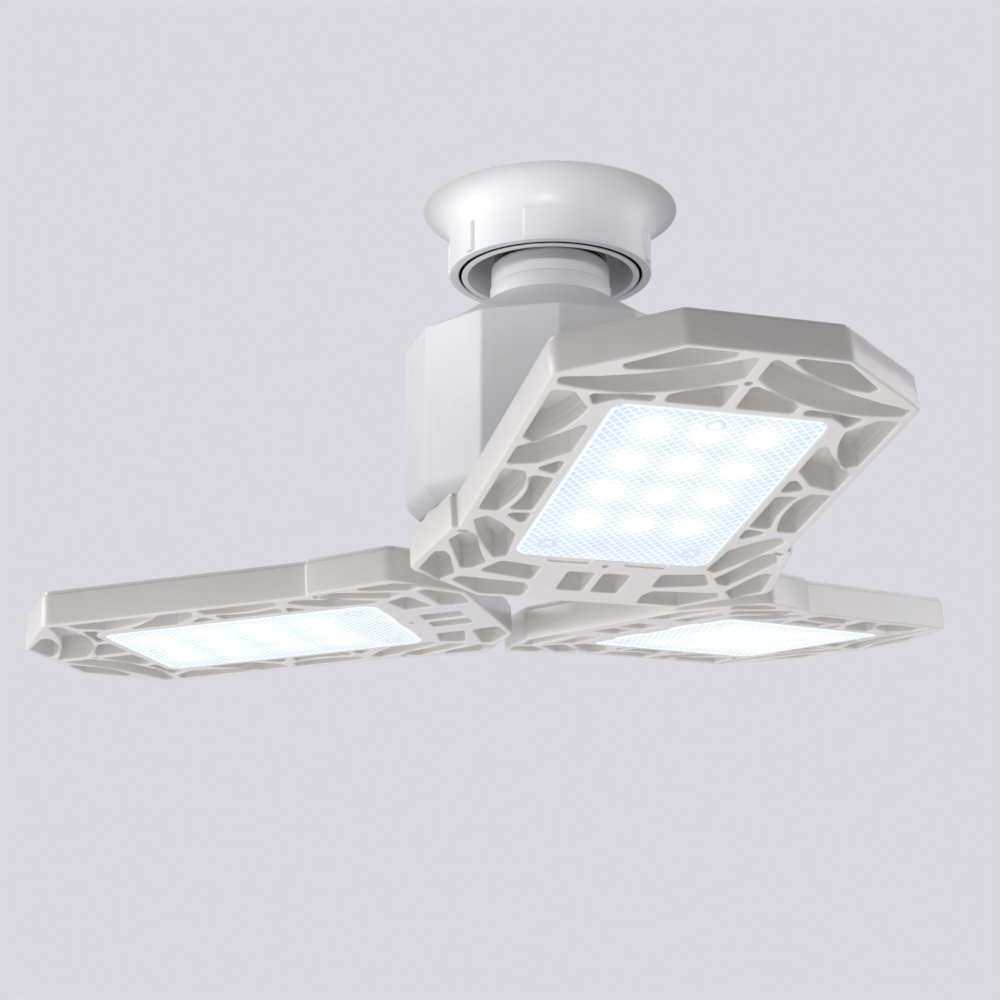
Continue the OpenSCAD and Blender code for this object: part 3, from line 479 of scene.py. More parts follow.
# The cover is a turned profile: a straight skirt, then a flare that is a quarter of an ellipse, then the same
# inside. Its skirt is pushed out where the ridges and the shallow pads are. A ridge's height is the root of
# one less the fourth power of the share of its half width, and a pad is a soft step.
def coverShape():
    c = cover
    bottom, edge, straight, mouth = heights["coverBottom"], c["edge"], c["skirtRadius"], c["mouth"]
    rise = -bottom - c["skirtHeight"]
    a = np.radians(np.linspace(0, 90, 19))
    spread = c["rimRadius"] - straight
    flare = np.column_stack([straight + spread * (1 - np.cos(a)), -rise + (rise - c["rimEdge"]) * np.sin(a)])
    # the skirt has more levels near its two ends, where the ridges start
    levels = np.sort(np.append(np.linspace(bottom + 0.5, -rise - 0.5, 15),
                               [bottom + 0.62, bottom + 0.74, -rise - 0.9, -rise - 0.7]))
    skirt = np.column_stack([np.full(len(levels), straight), levels])
    outer = np.vstack([arc(straight - edge, bottom + edge, edge, -90, 0, 4)[:-1], skirt, flare])
    top = [[c["rimRadius"] - 0.05, -0.12], [c["rimRadius"] - edge, 0], [mouth + 1, 0], [mouth + 0.2, -0.3]]
    thinner = np.column_stack([np.full(len(a), -c["wall"]), (c["wall"] - edge) * np.sin(a[::-1])])
    innerFlare = flare[::-1] + thinner
    wall = straight - c["wall"]
    lip = wall - c["lip"]
    lipTop = bottom + c["lipHeight"]
    inner = np.vstack([innerFlare[innerFlare[:, 1] < -0.55],
                       [[wall, c["insideTop"]], [wall, lipTop + 1], [lip, lipTop], [lip, bottom + edge],
                        [lip + edge, bottom]]])
    inner = inner[(inner[:, 0] <= mouth) & (inner[:, 0] >= lip)]
    profile = np.vstack([outer, top, [[mouth, -0.6]], inner])
    angles = np.arange(0, 360, 0.5)
    block = turned(profile, angles=angles)
    span = 360 / c["ridges"]
    fromRidge = np.abs((angles - c["ridgeAzimuth"] + span / 2) % span - span / 2) * np.radians(straight)
    ridge = c["ridgeOut"] * np.sqrt(np.clip(1 - (fromRidge / (c["ridgeWidth"] / 2)) ** 4, 0, 1))
    fromPad = np.abs((angles - c["ridgeAzimuth"]) % span - span / 2)
    pad = c["padOut"] * (1 - softStep(fromPad, c["padSpan"] / 2 - 0.7, c["padSpan"] / 2))
    z = profile[:, 1]
    outside = np.arange(len(profile)) < len(outer)
    ends = softStep(z, bottom + 0.45, bottom + 0.75) * (1 - softStep(z, -rise - 0.95, -rise - 0.6))
    push = np.maximum(ridge, pad)[None, :] * (outside * ends)[:, None]
    radius = np.hypot(block[..., 0], block[..., 1])
    block[..., :2] *= ((radius + push) / radius)[..., None]
    return Shape(block, turned(c["hook"]))


barrel = {
    "radius": 18.2, "bore": 13.99, "boreEdge": 0.3, "wireHole": 1.6, "roof": 9.52, "roofThick": 3.5,
    "edge": 0.5, "roofEdge": 0.6, "groove": (-14.2, -13.2), "grooveDeep": 0.25, "flange": (-5.0, -3.0),
    "flangeOut": 1.8,
    "rivets": 12, "rivetRadius": 0.9, "rivetOut": 0.45, "rivetHeight": -16.0,
}


# A turned profile: a straight wall with a groove and a flange, open below, with a hole in its roof
def barrelShape():
    b = barrel
    r, edge, roof, roofEdge = b["radius"], b["edge"], b["roof"], b["roofEdge"]
    bore, hole, deep = b["bore"], b["wireHole"], b["grooveDeep"]
    low, high = b["groove"]
    under, over = b["flange"]
    ceiling = roof - b["roofThick"]
    bottom = heights["neckTop"] + 1
    wide = r + b["flangeOut"]
    profile = np.vstack([
        arc(r - edge, bottom + edge, edge, -90, 0, 4),
        [[r, low], [r - deep, low + 0.2], [r - deep, high - 0.2], [r, high], [r, under], [wide, under],
         [wide, over], [r, over], [r, roof - roofEdge], [r - roofEdge, roof], [hole, roof], [hole, ceiling],
         [bore, ceiling], [bore, bottom + b["boreEdge"]], [bore + 0.31, bottom]]])
    return Shape(turned(profile))


# Small domed heads round the barrel: each a quarter of an ellipse, turned about the line that points outwards
def rivetShape():
    shape = Shape()
    r = barrel["rivetRadius"]
    a = np.radians(np.linspace(0, 90, 6))[:-1]
    rise = np.append(-0.2, barrel["rivetOut"] * np.sin(a))[:, None]
    wide = np.append(r, r * np.cos(a))[:, None]
    turn = np.radians(np.arange(16) * 22.5)
    for i in range(barrel["rivets"]):
        azimuth = np.radians(i * 360 / barrel["rivets"])
        out = barrel["radius"] - 0.05 + rise + 0 * turn
        side = wide * np.cos(turn)
        up = barrel["rivetHeight"] + wide * np.sin(turn)
        across = out * np.cos(azimuth) - side * np.sin(azimuth)
        along = out * np.sin(azimuth) + side * np.cos(azimuth)
        shape.rings(np.stack([across, along, up], -1), firstEnd=True, lastEnd=True)
    return shape


place("coverSkin", coverShape(), "holder_white", "lampholder", "holder_cover")
place("barrelSkin", barrelShape(), "barrel_brown", "lampholder", "socket_barrel")
place("rivetHeads", rivetShape(), "bright_brass", "lampholder", "barrel_rivets")
print("lampholder made")


neck = {
    "radius": 19.0, "flange": 19.4, "flangeHeight": 5.5, "edge": 1.5, "bore": 12.8, "mouth": 12.35,
    "mouthDeep": 2.0, "spigot": 14.6, "spigotDeep": 5.0,
}


# A turned profile: a spigot that goes into the housing, a low flange, and a wall with a round top edge
def neckShape():
    n = neck
    r, f, edge, bore, spigot, mouth = n["radius"], n["flange"], n["edge"], n["bore"], n["spigot"], n["mouth"]
    top, low = heights["neckTop"], heights["neckBottom"]
    foot = low - n["spigotDeep"]
    step = low + n["flangeHeight"]
    sill = top - n["mouthDeep"]
    profile = np.vstack([
        [[bore, foot + 0.2], [bore + 0.2, foot], [spigot - 0.3, foot], [spigot, foot + 0.3], [spigot, low],
         [f - 0.15, low], [f, low + 0.15], [f, step - 0.5], [f - 0.1, step - 0.3], [r + 0.03, step]],
        arc(r - edge, top - edge, edge, 0, 90, 8),
        [[mouth + 0.15, top], [mouth, top - 0.15], [mouth, sill], [bore, sill]]])
    return Shape(turned(profile, 192))


housing = {
    "sides": 12, "radius": 46.2, "topEdge": 0.9, "bevelHeight": 6.6, "bevelIn": 4.7, "bevelPower": 1.9,
    "cornerPower": 300, "coneFoot": 40.9, "coneTop": 20.9, "bore": 14.8, "inside": 41.8, "footOpening": 37.4,
}


# A twelve-sided prism under a round cone. The prism's radius at an angle is the distance to its flat sides,
# over a high power's norm of the cosines between the angle and the sides, which softens the corners. That
# outline moves inwards along a profile, and the lower bevel's inset is a power of the share of its height
# that is left.
def housingShape():
    h = housing
    top, low, neckFoot = heights["housingTop"], heights["hubTop"], heights["neckBottom"]
    half = 180 / h["sides"]
    # angles from a corner, closer together near it
    near = np.array([0, 0.3, 0.6, 0.9, 1.3, 2.0, 3.5, 6, 10, half])
    wedge = np.concatenate([-near[:0:-1], near[:-1]])
    sides = 2 * half * np.arange(h["sides"])
    angles = (half + sides[:, None] + wedge).ravel()
    share = np.clip(np.cos(np.radians(angles)[:, None] - np.radians(sides)), 1e-6, 1)
    sided = (share ** h["cornerPower"]).sum(1) ** (-1 / h["cornerPower"])
    apothem = h["radius"] * np.cos(np.radians(half))
    curve = np.linspace(0, 1, 9)
    bevel = np.column_stack([h["bevelIn"] * (1 - curve) ** h["bevelPower"], low + h["bevelHeight"] * curve])
    edge = arc(h["topEdge"], top - h["topEdge"], h["topEdge"], 180, 100, 4)
    inset = np.vstack([[[5.4, low + 0.12], [5.1, low]], bevel[:1] + [0.1, 0.0], bevel[:1] + [-0.12, 0.12],
                       bevel[1:-1],
                       [[0.02, low + h["bevelHeight"]], [0, low + 10], [0, (top + low) / 2], [0, top - 3]],
                       [[0, top - h["topEdge"] - 0.1]], edge])
    body = sided[None, :] * (apothem - inset[:, :1])
    foot = h["coneFoot"]
    slope = np.column_stack([np.linspace(foot, h["coneTop"], 12), np.linspace(top + 1.2, neckFoot - 0.5, 12)])
    cone = np.vstack([[[foot + 1.85, top + 0.02], [foot + 1.55, top + 0.12], [foot + 1.0, top + 0.5]], slope,
                      [[20.45, neckFoot - 0.15], [20.0, neckFoot], [neck["flange"], neckFoot]]])
    radius = np.vstack([body, cone[:, :1] + 0 * angles])
    z = np.concatenate([inset[:, 1], cone[:, 1]])
    a = np.radians(angles)
    outer = np.stack([radius * np.cos(a), radius * np.sin(a), z[:, None] + 0 * a], -1)
    bore, wide, opening = h["bore"], h["inside"], h["footOpening"]
    inside = [[bore, neckFoot], [bore, neckFoot - 5.9], [bore + 1.4, neckFoot - 6.1], [wide - 1.8, top - 1.9],
              [wide, top - 2.0], [wide, low + 7.4], [opening, low + 1.6], [opening, low + 0.12]]
    return Shape(np.concatenate([outer, turned(inside, angles=angles)]))


place("neckSkin", neckShape(), "body_white", "lamp", "neck")
place("housingSkin", housingShape(), "body_white", "lamp", "housing")
print("body made")


# Panels are made in the hinge's frame: x across, y outwards, z up
panel = {
    "lensWidth": 57.8, "lensLength": 87.6, "lensThick": 2.0, "lensCorner": 4.0, "lensStart": 20.4,
    "rim": -15.4, "floorTop": -5.7, "depth": 8.1, "sideWidth": 97.6, "flareWidth": 112.0, "edgeWidth": 62.6,
    "tipWidth": 42.0, "tipMargin": 29.4, "tipSlope": 19.0, "flareStart": 14.1, "flareEnd": 14.0,
    "edgeMargin": 29.2, "step": 1.8, "corner": 4.5, "edgeRound": 0.7, "ribRound": 0.55, "pocketCorner": 1.2,
    "drawLine": 3.9,
    "lensGap": 0.2, "mouthRound": 0.25, "holeRadius": 1.0, "holeDeep": 3.0, "holeIn": 4.0,
}
# Two low steps beside a small boss, at the inner edge of the lens's recess
lowStep = {"start": 5.4, "end": 17.9, "length": 3.0, "deep": 0.5}
# A small slit beside the lens, and its mirror image
slit = {"length": 3.2, "width": 1.3, "deep": 2.0, "across": 46.8, "along": 32.55, "turn": -12}
# Corners of the pockets between the ribs, as [across, along, bow of the edge that leaves the corner]
pockets = [
    [[40.5, 127.5, 0], [25, 140, 0], [7, 140.2, -0.2], [38.5, 125.5, 0]],
    [[56, 117.5, 0.11], [2, 139.5, 0], [2, 127, -0.25], [55.5, 113.8, 0]],
    [[44.5, 109.6, 0], [24, 112.3, 0], [24, 108.6, 0], [34, 108.5, 0], [38, 106, 0], [41, 103, 0]],
    [[20.8, 113.4, -0.06], [2, 123, 0], [2, 109, 0], [20.8, 109, 0]],
    [[55.8, 110, 0], [49, 109.7, 0], [42, 101, -0.18], [52, 78.3, 0], [55.8, 80.5, 0]],
    [[55.8, 74.5, 0.12], [38.2, 95.5, 0], [38.2, 74, 0], [46, 65.2, 0], [55.8, 62.5, 0]],
    [[46, 61.5, 0], [38.2, 69.5, 0], [38.2, 58.5, 0]],
    [[55.8, 60, 0], [48.8, 59.2, -0.1], [46, 50, -0.12], [49.3, 31, 0], [55.8, 31, 0]],
    [[46.5, 57, 0], [38.2, 56, 0], [38.2, 33, 0], [46.5, 32.5, 0.2]],
    [[47, 29.5, 0], [38, 31.3, 0], [38, 22.3, 0]],
    [[55.2, 23.4, 0], [51.7, 27, 0], [45.3, 22.2, 0], [38.4, 14.4, 0], [36.6, -2, 0], [40.6, -4, -0.08]],
    [[57, 12.3, 0], [53.9, 14.4, 0], [50.4, 10.4, 0.06], [42, -8.4, 0], [45.2, -12.6, 0], [49.4, -14, 0],
     [59.4, 7.2, 0]],
    [[61.6, -2.2, 0], [58.6, -1.6, 0], [55.6, -5.4, 0], [50.4, -18.6, 0], [54.7, -24, 0], [63.5, -16.6, 0]],
    [[42.6, -14.8, 0], [37.4, -5.8, 0], [22.3, -8.4, 0], [22.3, -19.4, 0]],
    [[50.2, -23.6, 0], [48, -20.2, 0], [24, -22.2, 0], [21.5, -26, 0], [21.5, -32.9, 0], [37.8, -33, 0]],
    [[11.5, -10.5, 0], [1.6, -10.5, 0], [1.6, -26, 0], [11.5, -26, 0]],
]
# The grid that the pockets are drawn on, the same as in the CAD. Across are the lens's edge and the side, and
# along, from the lens's start, are the edge under the hub, the lens's end and the outer edge.
grid = {"lensEdge": 35, "side": 59, "underHub": -35, "lensEnd": 106, "outerEdge": 142, "tipHole": 124}


# Each stretch of the grid runs evenly over its own real length
def onGrid(x, y):
    p, g = panel, grid
    half = p["lensWidth"] / 2
    if x < g["lensEdge"]:
        across = x / g["lensEdge"] * half
    else:
        across = half + (x - g["lensEdge"]) / (g["side"] - g["lensEdge"]) * (p["sideWidth"] / 2 - half)
    if y < 0:
        along = y / -g["underHub"] * p["edgeMargin"]
    elif y < g["lensEnd"]:
        along = y / g["lensEnd"] * p["lensLength"]
    else:
        along = p["lensLength"] + (y - g["lensEnd"]) / (g["outerEdge"] - g["lensEnd"]) * p["tipMargin"]
    return across, p["lensStart"] + along


# The frame's outline from the edge under the hub, over the step behind the flare, to the tip
def panelCorners():
    p = panel
    start, side, r = p["lensStart"], p["sideWidth"] / 2, p["corner"]
    stepAt = start + p["flareStart"]
    tip = start + p["lensLength"] + p["tipMargin"]
    return bothSides([
        (p["edgeWidth"] / 2, start - p["edgeMargin"], 0, r),
        (p["flareWidth"] / 2, start - p["flareEnd"], 0, r), (side + p["step"], stepAt, 0, 1.0),
        (side, stepAt, 0, 0.4), (side, tip - p["tipSlope"], 0, r), (p["tipWidth"] / 2, tip, 0, r)])


# Offsets and depths of a rounded edge that turns from a flat face into a wall: a quarter circle
def edgeRound(radius, support=0.12):
    a = np.radians(np.linspace(0, 90, 5))
    bend = np.column_stack([-radius * (1 - np.sin(a)), radius * (1 - np.cos(a))])
    return np.vstack([[[-radius - support, 0.0]], bend])


# Each pocket is its outline, moved in along a profile: a rounded rib edge, a wall and a soft corner at the
# floor. These functions add one kind of opening and return the mouths that it cuts in the frame's lower face.
def addPockets(shape):
    p = panel
    draw = p["drawLine"]
    wall = np.vstack([edgeRound(p["ribRound"]),
                      [[0.05, draw - 0.12], [0.06, draw], [0.13, draw + 0.03], [0.28, 7.3], [0.36, 7.7],
                       [0.62, 7.98], [0.95, p["depth"]]]])
    mouths = []
    for corners in pockets:
        line = [(*onGrid(x, y), bow, p["pocketCorner"]) for x, y, bow in corners]
        right = outlines(line, wall[:, 0])
        for loops in (right, mirrored(right)):
            shape.rings(withHeights(loops, p["rim"] + wall[:, 1]))
            shape.plate([loops[-1]], p["rim"] + p["depth"])
            mouths.append(loops[0])
    return mouths


# The lens's recess: a rounded mouth with the two low steps, a seat, and a straight wall down to the floor
def addRecess(shape):
    p = panel
    rim, thick, gap, level = p["rim"], p["lensThick"], p["lensGap"], lowStep["deep"]
    edge = edgeRound(p["mouthRound"])
    w, y0, r = p["lensWidth"] / 2 + gap, p["lensStart"] - gap, p["lensCorner"] + gap
    x0, x1, back = lowStep["start"], lowStep["end"], y0 - lowStep["length"]
    corners = [(x0, y0, 0, 0.5), (x0, back, 0, 0.8), (x1, back, 0, 0.8), (x1, y0, 0, 0.5), (w, y0, 0, r),
               (w, y0 + p["lensLength"] + 2 * gap, 0, r)]
    mouth = outlines(bothSides(corners), edge[:, 0])
    shape.rings(withHeights(mouth, np.append(rim + edge[:-1, 1], rim + level)))
    seat = rectangle(p["lensWidth"] + 0.16, p["lensLength"] + 0.16, p["lensStart"] + p["lensLength"] / 2,
                     p["lensCorner"] + 0.08)
    wall = np.array([[0, level], [0, thick - 0.1], [0.1, thick], [1.6, thick], [1.7, thick + 0.1], [1.8, 7.4],
                     [2.0, 7.9], [2.5, p["depth"]]])
    loops = outlines(seat, wall[:, 0])
    shape.plate([mouth[-1], loops[0]], rim + level)
    shape.rings(withHeights(loops, rim + wall[:, 1]))
    shape.plate([loops[-1]], rim + p["depth"])
    return [mouth[0]]


# A turned rectangle with round ends, and its mirror image
def addSlits(shape):
    rim, deep = panel["rim"], slit["deep"]
    c, s = np.cos(np.radians(slit["turn"])), np.sin(np.radians(slit["turn"]))
    line = [(slit["across"] + u * c - v * s, slit["along"] + u * s + v * c, 0, slit["width"] * 0.45)
            for u, v, _, _ in rectangle(slit["length"], slit["width"], 0, 0)]
    right = outlines(line, [-0.15, -0.05, 0, 0.02, 0.1])
    mouths = []
    for loops in (right, mirrored(right)):
        shape.rings(withHeights(loops, rim + np.array([0, 0.04, 0.15, deep - 0.1, deep])))
        shape.plate([loops[-1]], rim + deep)
        mouths.append(loops[0])
    return mouths


# Two round holes on the middle line, near the tip and near the hinge
def addHoles(shape):
    r, deep = panel["holeRadius"], panel["holeDeep"]
    a = np.radians(np.arange(24) * 15)
    profile = np.array([[r + 0.35, 0], [r + 0.22, 0], [r + 0.06, 0.06], [r, 0.22], [r - 0.05, deep - 0.2],
                        [r - 0.25, deep]])
    mouths = []
    for y in (onGrid(0, grid["tipHole"])[1], panel["lensStart"] - panel["holeIn"]):
        ring = np.stack([profile[:, :1] * np.cos(a), y + profile[:, :1] * np.sin(a),
                         panel["rim"] + profile[:, 1:] + 0 * a], -1)
        shape.rings(ring, lastEnd=True)
        mouths.append(ring[0, :, :2])
    return mouths


# The frame: offsets of its outline make the rounded edge and the wall, and its lower face is a plate with the
# mouths of the pockets, recess, slits and holes cut out
def frameShape():
    p = panel
    shape = Shape()
    back = p["floorTop"]
    edge = edgeRound(p["edgeRound"])
    levels = np.append(p["rim"] + edge[:, 1], [back - 0.5, back - 0.15, back, back])
    skin = outlines(panelCorners(), np.append(-edge[:, 0], [0.0, 0.15, 0.5, 0.62]))
    shape.rings(withHeights(skin, levels))
    shape.plate([skin[-1]], back)
    mouths = addPockets(shape) + addRecess(shape) + addSlits(shape) + addHoles(shape)
    shape.plate([skin[0]] + mouths, p["rim"])
    return shape


rear = {
    "top": -4.5, "inset": 1.5, "bossWidth": 14, "bossLength": 11, "bossCorner": 3, "bossHeight": 2.3,
    "bosses": [(0, 0.925), (0.37, 0.095), (-0.37, 0.095)],  # shares of the lens's width and length
}


# The rear plate and its bosses: offsets of their outlines, each at its own level
def backShape():
    p = panel
    shape = Shape()
    low, high, inset = p["floorTop"], rear["top"], rear["inset"]
    offsets = [inset + 0.12, inset, inset, inset + 0.1, inset + 0.4, inset + 0.5]
    skin = outlines(panelCorners(), offsets, share=0.49)
    shape.rings(withHeights(skin, [low, low + 0.1, high - 0.4, high - 0.12, high, high]))
    shape.plate([skin[0]], low)
    shape.plate([skin[-1]], high)
    foot, top = high - 0.2, high + rear["bossHeight"]
    for across, along in rear["bosses"]:
        x, y = across * p["lensWidth"], p["lensStart"] + along * p["lensLength"]
        corners = [(x + u, v, bow, radius) for u, v, bow, radius
                   in rectangle(rear["bossWidth"], rear["bossLength"], y, rear["bossCorner"])]
        boss = outlines(corners, [0, 0, 0.15, 0.5, 0.6])
        shape.rings(withHeights(boss, [foot, top - 0.5, top - 0.15, top, top]))
        shape.plate([boss[0]], foot)
        shape.plate([boss[-1]], top)
    return shape


lens = {"border": 1.4, "relief": 0.28, "cells": 18, "perCell": 6}


# The lens: a grid whose corners are drawn in to the rounded outline. Its outer face carries small crossed
# prisms, so its height there is the lesser of two triangle waves that run along the two diagonals. Its sides
# are the grid's border moved outwards along a rounded profile.
def lensShape():
    p = panel
    shape = Shape()
    rim = p["rim"]
    half = np.array([p["lensWidth"], p["lensLength"]]) / 2 - lens["border"]
    columns = lens["cells"] * lens["perCell"]
    step = 2 * half[0] / columns
    rows = int(half[1] / step) * 2
    half[1] = rows * step / 2
    i, j = np.meshgrid(np.arange(rows + 1), np.arange(columns + 1), indexing="ij")
    x = (j / columns * 2 - 1) * half[0]
    y = (i / rows * 2 - 1) * half[1]
    corner = p["lensCorner"] - lens["border"]
    dx = np.abs(x) - (half[0] - corner)
    dy = np.abs(y) - (half[1] - corner)
    inCorner = (dx > 0) & (dy > 0)
    far = np.where(inCorner, np.hypot(dx, dy), 1)
    pull = np.maximum(dx, dy) / np.maximum(far, 1e-9)
    x = np.where(inCorner, np.sign(x) * (half[0] - corner + dx * pull), x)
    y = np.where(inCorner, np.sign(y) * (half[1] - corner + dy * pull), y)
    border = np.minimum(half[0] - np.abs(x), half[1] - np.abs(y))
    i, j = i - rows / 2, j - columns / 2
    waveA = np.abs(((j + i) / lens["perCell"]) % 1 - 0.5) * 2
    waveB = np.abs(((j - i) / lens["perCell"]) % 1 - 0.5) * 2
    z = rim + lens["relief"] * np.minimum(waveA, waveB) * softStep(border, 0.1, 0.9)
    block = np.stack([x, y + p["lensStart"] + p["lensLength"] / 2, z], -1)
    start = shape.add(block)
    shape.faces += gridFaces(rows + 1, columns + 1, start, closed=False)
    ring = np.concatenate([block[0, :-1], block[:-1, -1], block[-1, :0:-1], block[:0:-1, 0]])
    ahead = np.roll(ring, -1, 0)[:, :2] - ring[:, :2]
    behind = ring[:, :2] - np.roll(ring, 1, 0)[:, :2]
    along = ahead / np.maximum(np.linalg.norm(ahead, axis=1), 1e-9)[:, None]
    along += behind / np.maximum(np.linalg.norm(behind, axis=1), 1e-9)[:, None]
    along /= np.linalg.norm(along, axis=1)[:, None]
    outward = np.column_stack([along[:, 1], -along[:, 0]])
    b, thick = lens["border"], p["lensThick"]
    moves = [[0, 0], [0.1, 0], [b - 0.42, 0], [b - 0.3, 0], [b - 0.12, 0.08], [b - 0.03, 0.25], [b, 0.5],
             [b, thick - 0.3], [b - 0.12, thick - 0.08], [b - 0.4, thick]]
    sides = np.stack([np.column_stack([ring[:, :2] + outward * m, np.full(len(ring), rim + h)])
                      for m, h in moves])
    shape.rings(sides)
    shape.plate([sides[-1][:, :2]], rim + thick)
    return shape


# Lengths of the lens's light are in millimetres
lensLook = {
    "solid": 0.9, "spotRadius": 3.7, "spotSoft": 0.9, "spotsOut": 6.0, "spotPitch": (14.9, 17.5),
    "spotLimits": (22.35, 35.0), "haloRadius": 12, "halo": 0.3, "line": 0.3, "lineShare": 0.62, "light": 0.9,
    "rim": 0.9, "rimShare": 0.55, "ringRadius": 2.3, "ringShare": 0.7, "ringColour": (0.36, 0.46, 0.72),
    "screws": [(0, 0.425), (0.37, -0.405), (-0.37, -0.405)],  # shares of the lens's width and length
    "cellDark": (0.47, 0.575, 0.77), "cellLight": (0.54, 0.645, 0.81),
    "patchColour": (0.58, 0.47, 0.82), "patchShare": 0.45, "patchSize": (12, 5), "patchIn": 0.42,
}


# The lens's own light: cool white, brighter on the crossed lines and in a round spot below each emitter.
# The plan is in millimetres over 100, so that spots and lines sit where the emitters and prisms are.
def lensClear():
    made = Finish("lensClear")
    p, look = panel, lensLook
    cell = 2 * (p["lensWidth"] / 2 - lens["border"]) / lens["cells"] / 100
    x, y, _ = made.plan.split()
    waveA = (((x + y) / cell).math("FRACT") - 0.5).math("ABSOLUTE") * 2
    waveB = (((x - y) / cell).math("FRACT") - 0.5).math("ABSOLUTE") * 2
    ridge = waveA.math("MINIMUM", waveB)
    lattice = ridge.ramp(0.3 * look["line"], look["line"], 1.0, 0.0)
    # the half and whole numbers put a spot's middle on the lens's middle across, and between two spots along
    pitchX, pitchY = [pitch / 100 for pitch in look["spotPitch"]]
    limitX, limitY = [limit / 100 for limit in look["spotLimits"]]
    spotX = ((x / pitchX + 50.5).math("FRACT") - 0.5) * pitchX
    out = y - look["spotsOut"] / 100
    spotY = ((out / pitchY + 50.0).math("FRACT") - 0.5) * pitchY
    away = (spotX * spotX + spotY * spotY).math("SQRT") * 100
    inX = x.math("ABSOLUTE").ramp(limitX, limitX + 0.0005, 1.0, 0.0)
    inY = out.math("ABSOLUTE").ramp(limitY, limitY + 0.0005, 1.0, 0.0)
    spots = away.ramp(look["spotRadius"], look["spotRadius"] + look["spotSoft"], 1.0, 0.0) * inX * inY
    halos = away.ramp(look["spotRadius"], look["haloRadius"], look["halo"], 0.0) * inX * inY
    cloud = made.plan.noise(9, 2, 0.5)
    cells = cloud.ramp(0.35, 0.65).colours(look["cellDark"], look["cellLight"])
    patchWidth, patchLength = look["patchSize"]
    patchX = x * 100 / patchWidth
    patchY = (y * 100 + look["patchIn"] * p["lensLength"]) / patchLength
    patch = (patchX * patchX + patchY * patchY).ramp(0.2, 1.0, look["patchShare"], 0.0)
    cells = patch.colours(cells, look["patchColour"])
    # the smooth rim outside the crossed lines glows evenly
    sideX = x.math("ABSOLUTE") * 100 - (p["lensWidth"] / 2 - look["rim"])
    sideY = y.math("ABSOLUTE") * 100 - (p["lensLength"] / 2 - look["rim"])
    onRim = sideX.math("MAXIMUM", sideY).ramp(-0.15, 0.15)
    lines = onRim * (look["rimShare"] - lattice * look["lineShare"]) + lattice * look["lineShare"]
    # the heads of the board's screws show through as faint rings
    rings = None
    for across, along in look["screws"]:
        dx, dy = x * 100 - across * p["lensWidth"], y * 100 - along * p["lensLength"]
        offRing = ((dx * dx + dy * dy).math("SQRT") - look["ringRadius"]).math("ABSOLUTE")
        ring = offRing.ramp(0.25, 0.75, 1.0, 0.0)
        rings = ring if rings is None else rings + ring
    lit = (lines + spots + halos).math("MINIMUM", 1.0).colours(cells, (1.0, 1.0, 1.0))
    made.set(Base_Color=ridge.ramp(0.2, 0.8).colours((0.24, 0.27, 0.3), (0.19, 0.22, 0.25)),
             Roughness=cloud.ramp(0.3, 0.7, 0.12, 0.2), IOR=1.49, Alpha=look["solid"],
             Emission_Color=(rings * look["ringShare"]).colours(lit, look["ringColour"]),
             Emission_Strength=look["light"])
    made.bump(cloud, 0.05, 0.00004)
    return made.material


finishes["lens_clear"] = lensClear()


# Gives a panel's piece its plan coordinates, from the lens's middle, in millimetres over 100
def planMap(piece, matrix):
    mesh = piece.data
    points = np.empty(len(mesh.vertices) * 3)
    mesh.vertices.foreach_get("co", points)
    back = np.array(matrix.inverted())
    flat = points.reshape(-1, 3) / mm @ back[:3, :3].T + back[:3, 3]
    flat[:, 1] -= panel["lensStart"] + panel["lensLength"] / 2
    corner = np.empty(len(mesh.loops), int)
    mesh.loops.foreach_get("vertex_index", corner)
    layer = mesh.uv_layers.new(name="plan")
    layer.data.foreach_set("uv", (flat[corner, :2] / 100).ravel())


# Shape, finish, and the angle from which an edge stays sharp
shapes = {
    "frame": (frameShape(), "panel_plastic", 32), "back_cover": (backShape(), "panel_plastic", 32),
    "lens": (lensShape(), "lens_clear", 60),
}
for side, (azimuth, tilt) in panels.items():
    matrix = hingeMatrix(azimuth, tilt)
    for part, (shape, slot, sharp) in shapes.items():
        piece = place(part + side.title(), shape, slot, "panel_" + side, part + "_" + side, matrix, sharp)
        planMap(piece, matrix)
print("panels made")


softEdge = {"segments": 3, "angle": 34, "weld": 2e-6}


# Gives a carried-over CAD node its finish, and soft edges of a width
def dress(name, slot, edge):
    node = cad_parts[name]
    node.data.materials.clear()
    node.data.materials.append(finishes[slot])
    weld = node.modifiers.new("weld", "WELD")
    weld.merge_threshold = softEdge["weld"]
    if edge:
        bevel = node.modifiers.new("edge", "BEVEL")
        bevel.width = edge * mm
        bevel.segments = softEdge["segments"]
        bevel.limit_method = "ANGLE"
        bevel.angle_limit = np.radians(softEdge["angle"])


# Nodes by finish, with the widths of their soft edges
carried = {
    "holder_white": {"holder_base": 0.3, "holder_collar": 0.3},
    "bright_brass": {"screw_shell": 0, "neutral_strap": 0.1, "centre_contact": 0.2, "terminal_blocks": 0.25},
    "cap_metal": {"cap_shell": 0, "cap_contact": 0},
    "black_insulator": {"cap_insulator": 0.2, "driver_chips": 0.2},
    "circuit_green": {"driver_board": 0.1},
    "transformer_yellow": {"driver_transformer": 0.4},
    "capacitor_sleeve": {"driver_capacitors": 0.6},
    "wire_red": {"supply_leads": 0, "hub_leads": 0},
    "hub_white": {"hub": 0.35},
    "screw_steel": {"holder_screws": 0.2, "hub_screws": 0.25, "bracket_screws": 0.25, "hinge_nuts": 0.3},
    "spring_steel": {"friction_washers": 0.08},
}
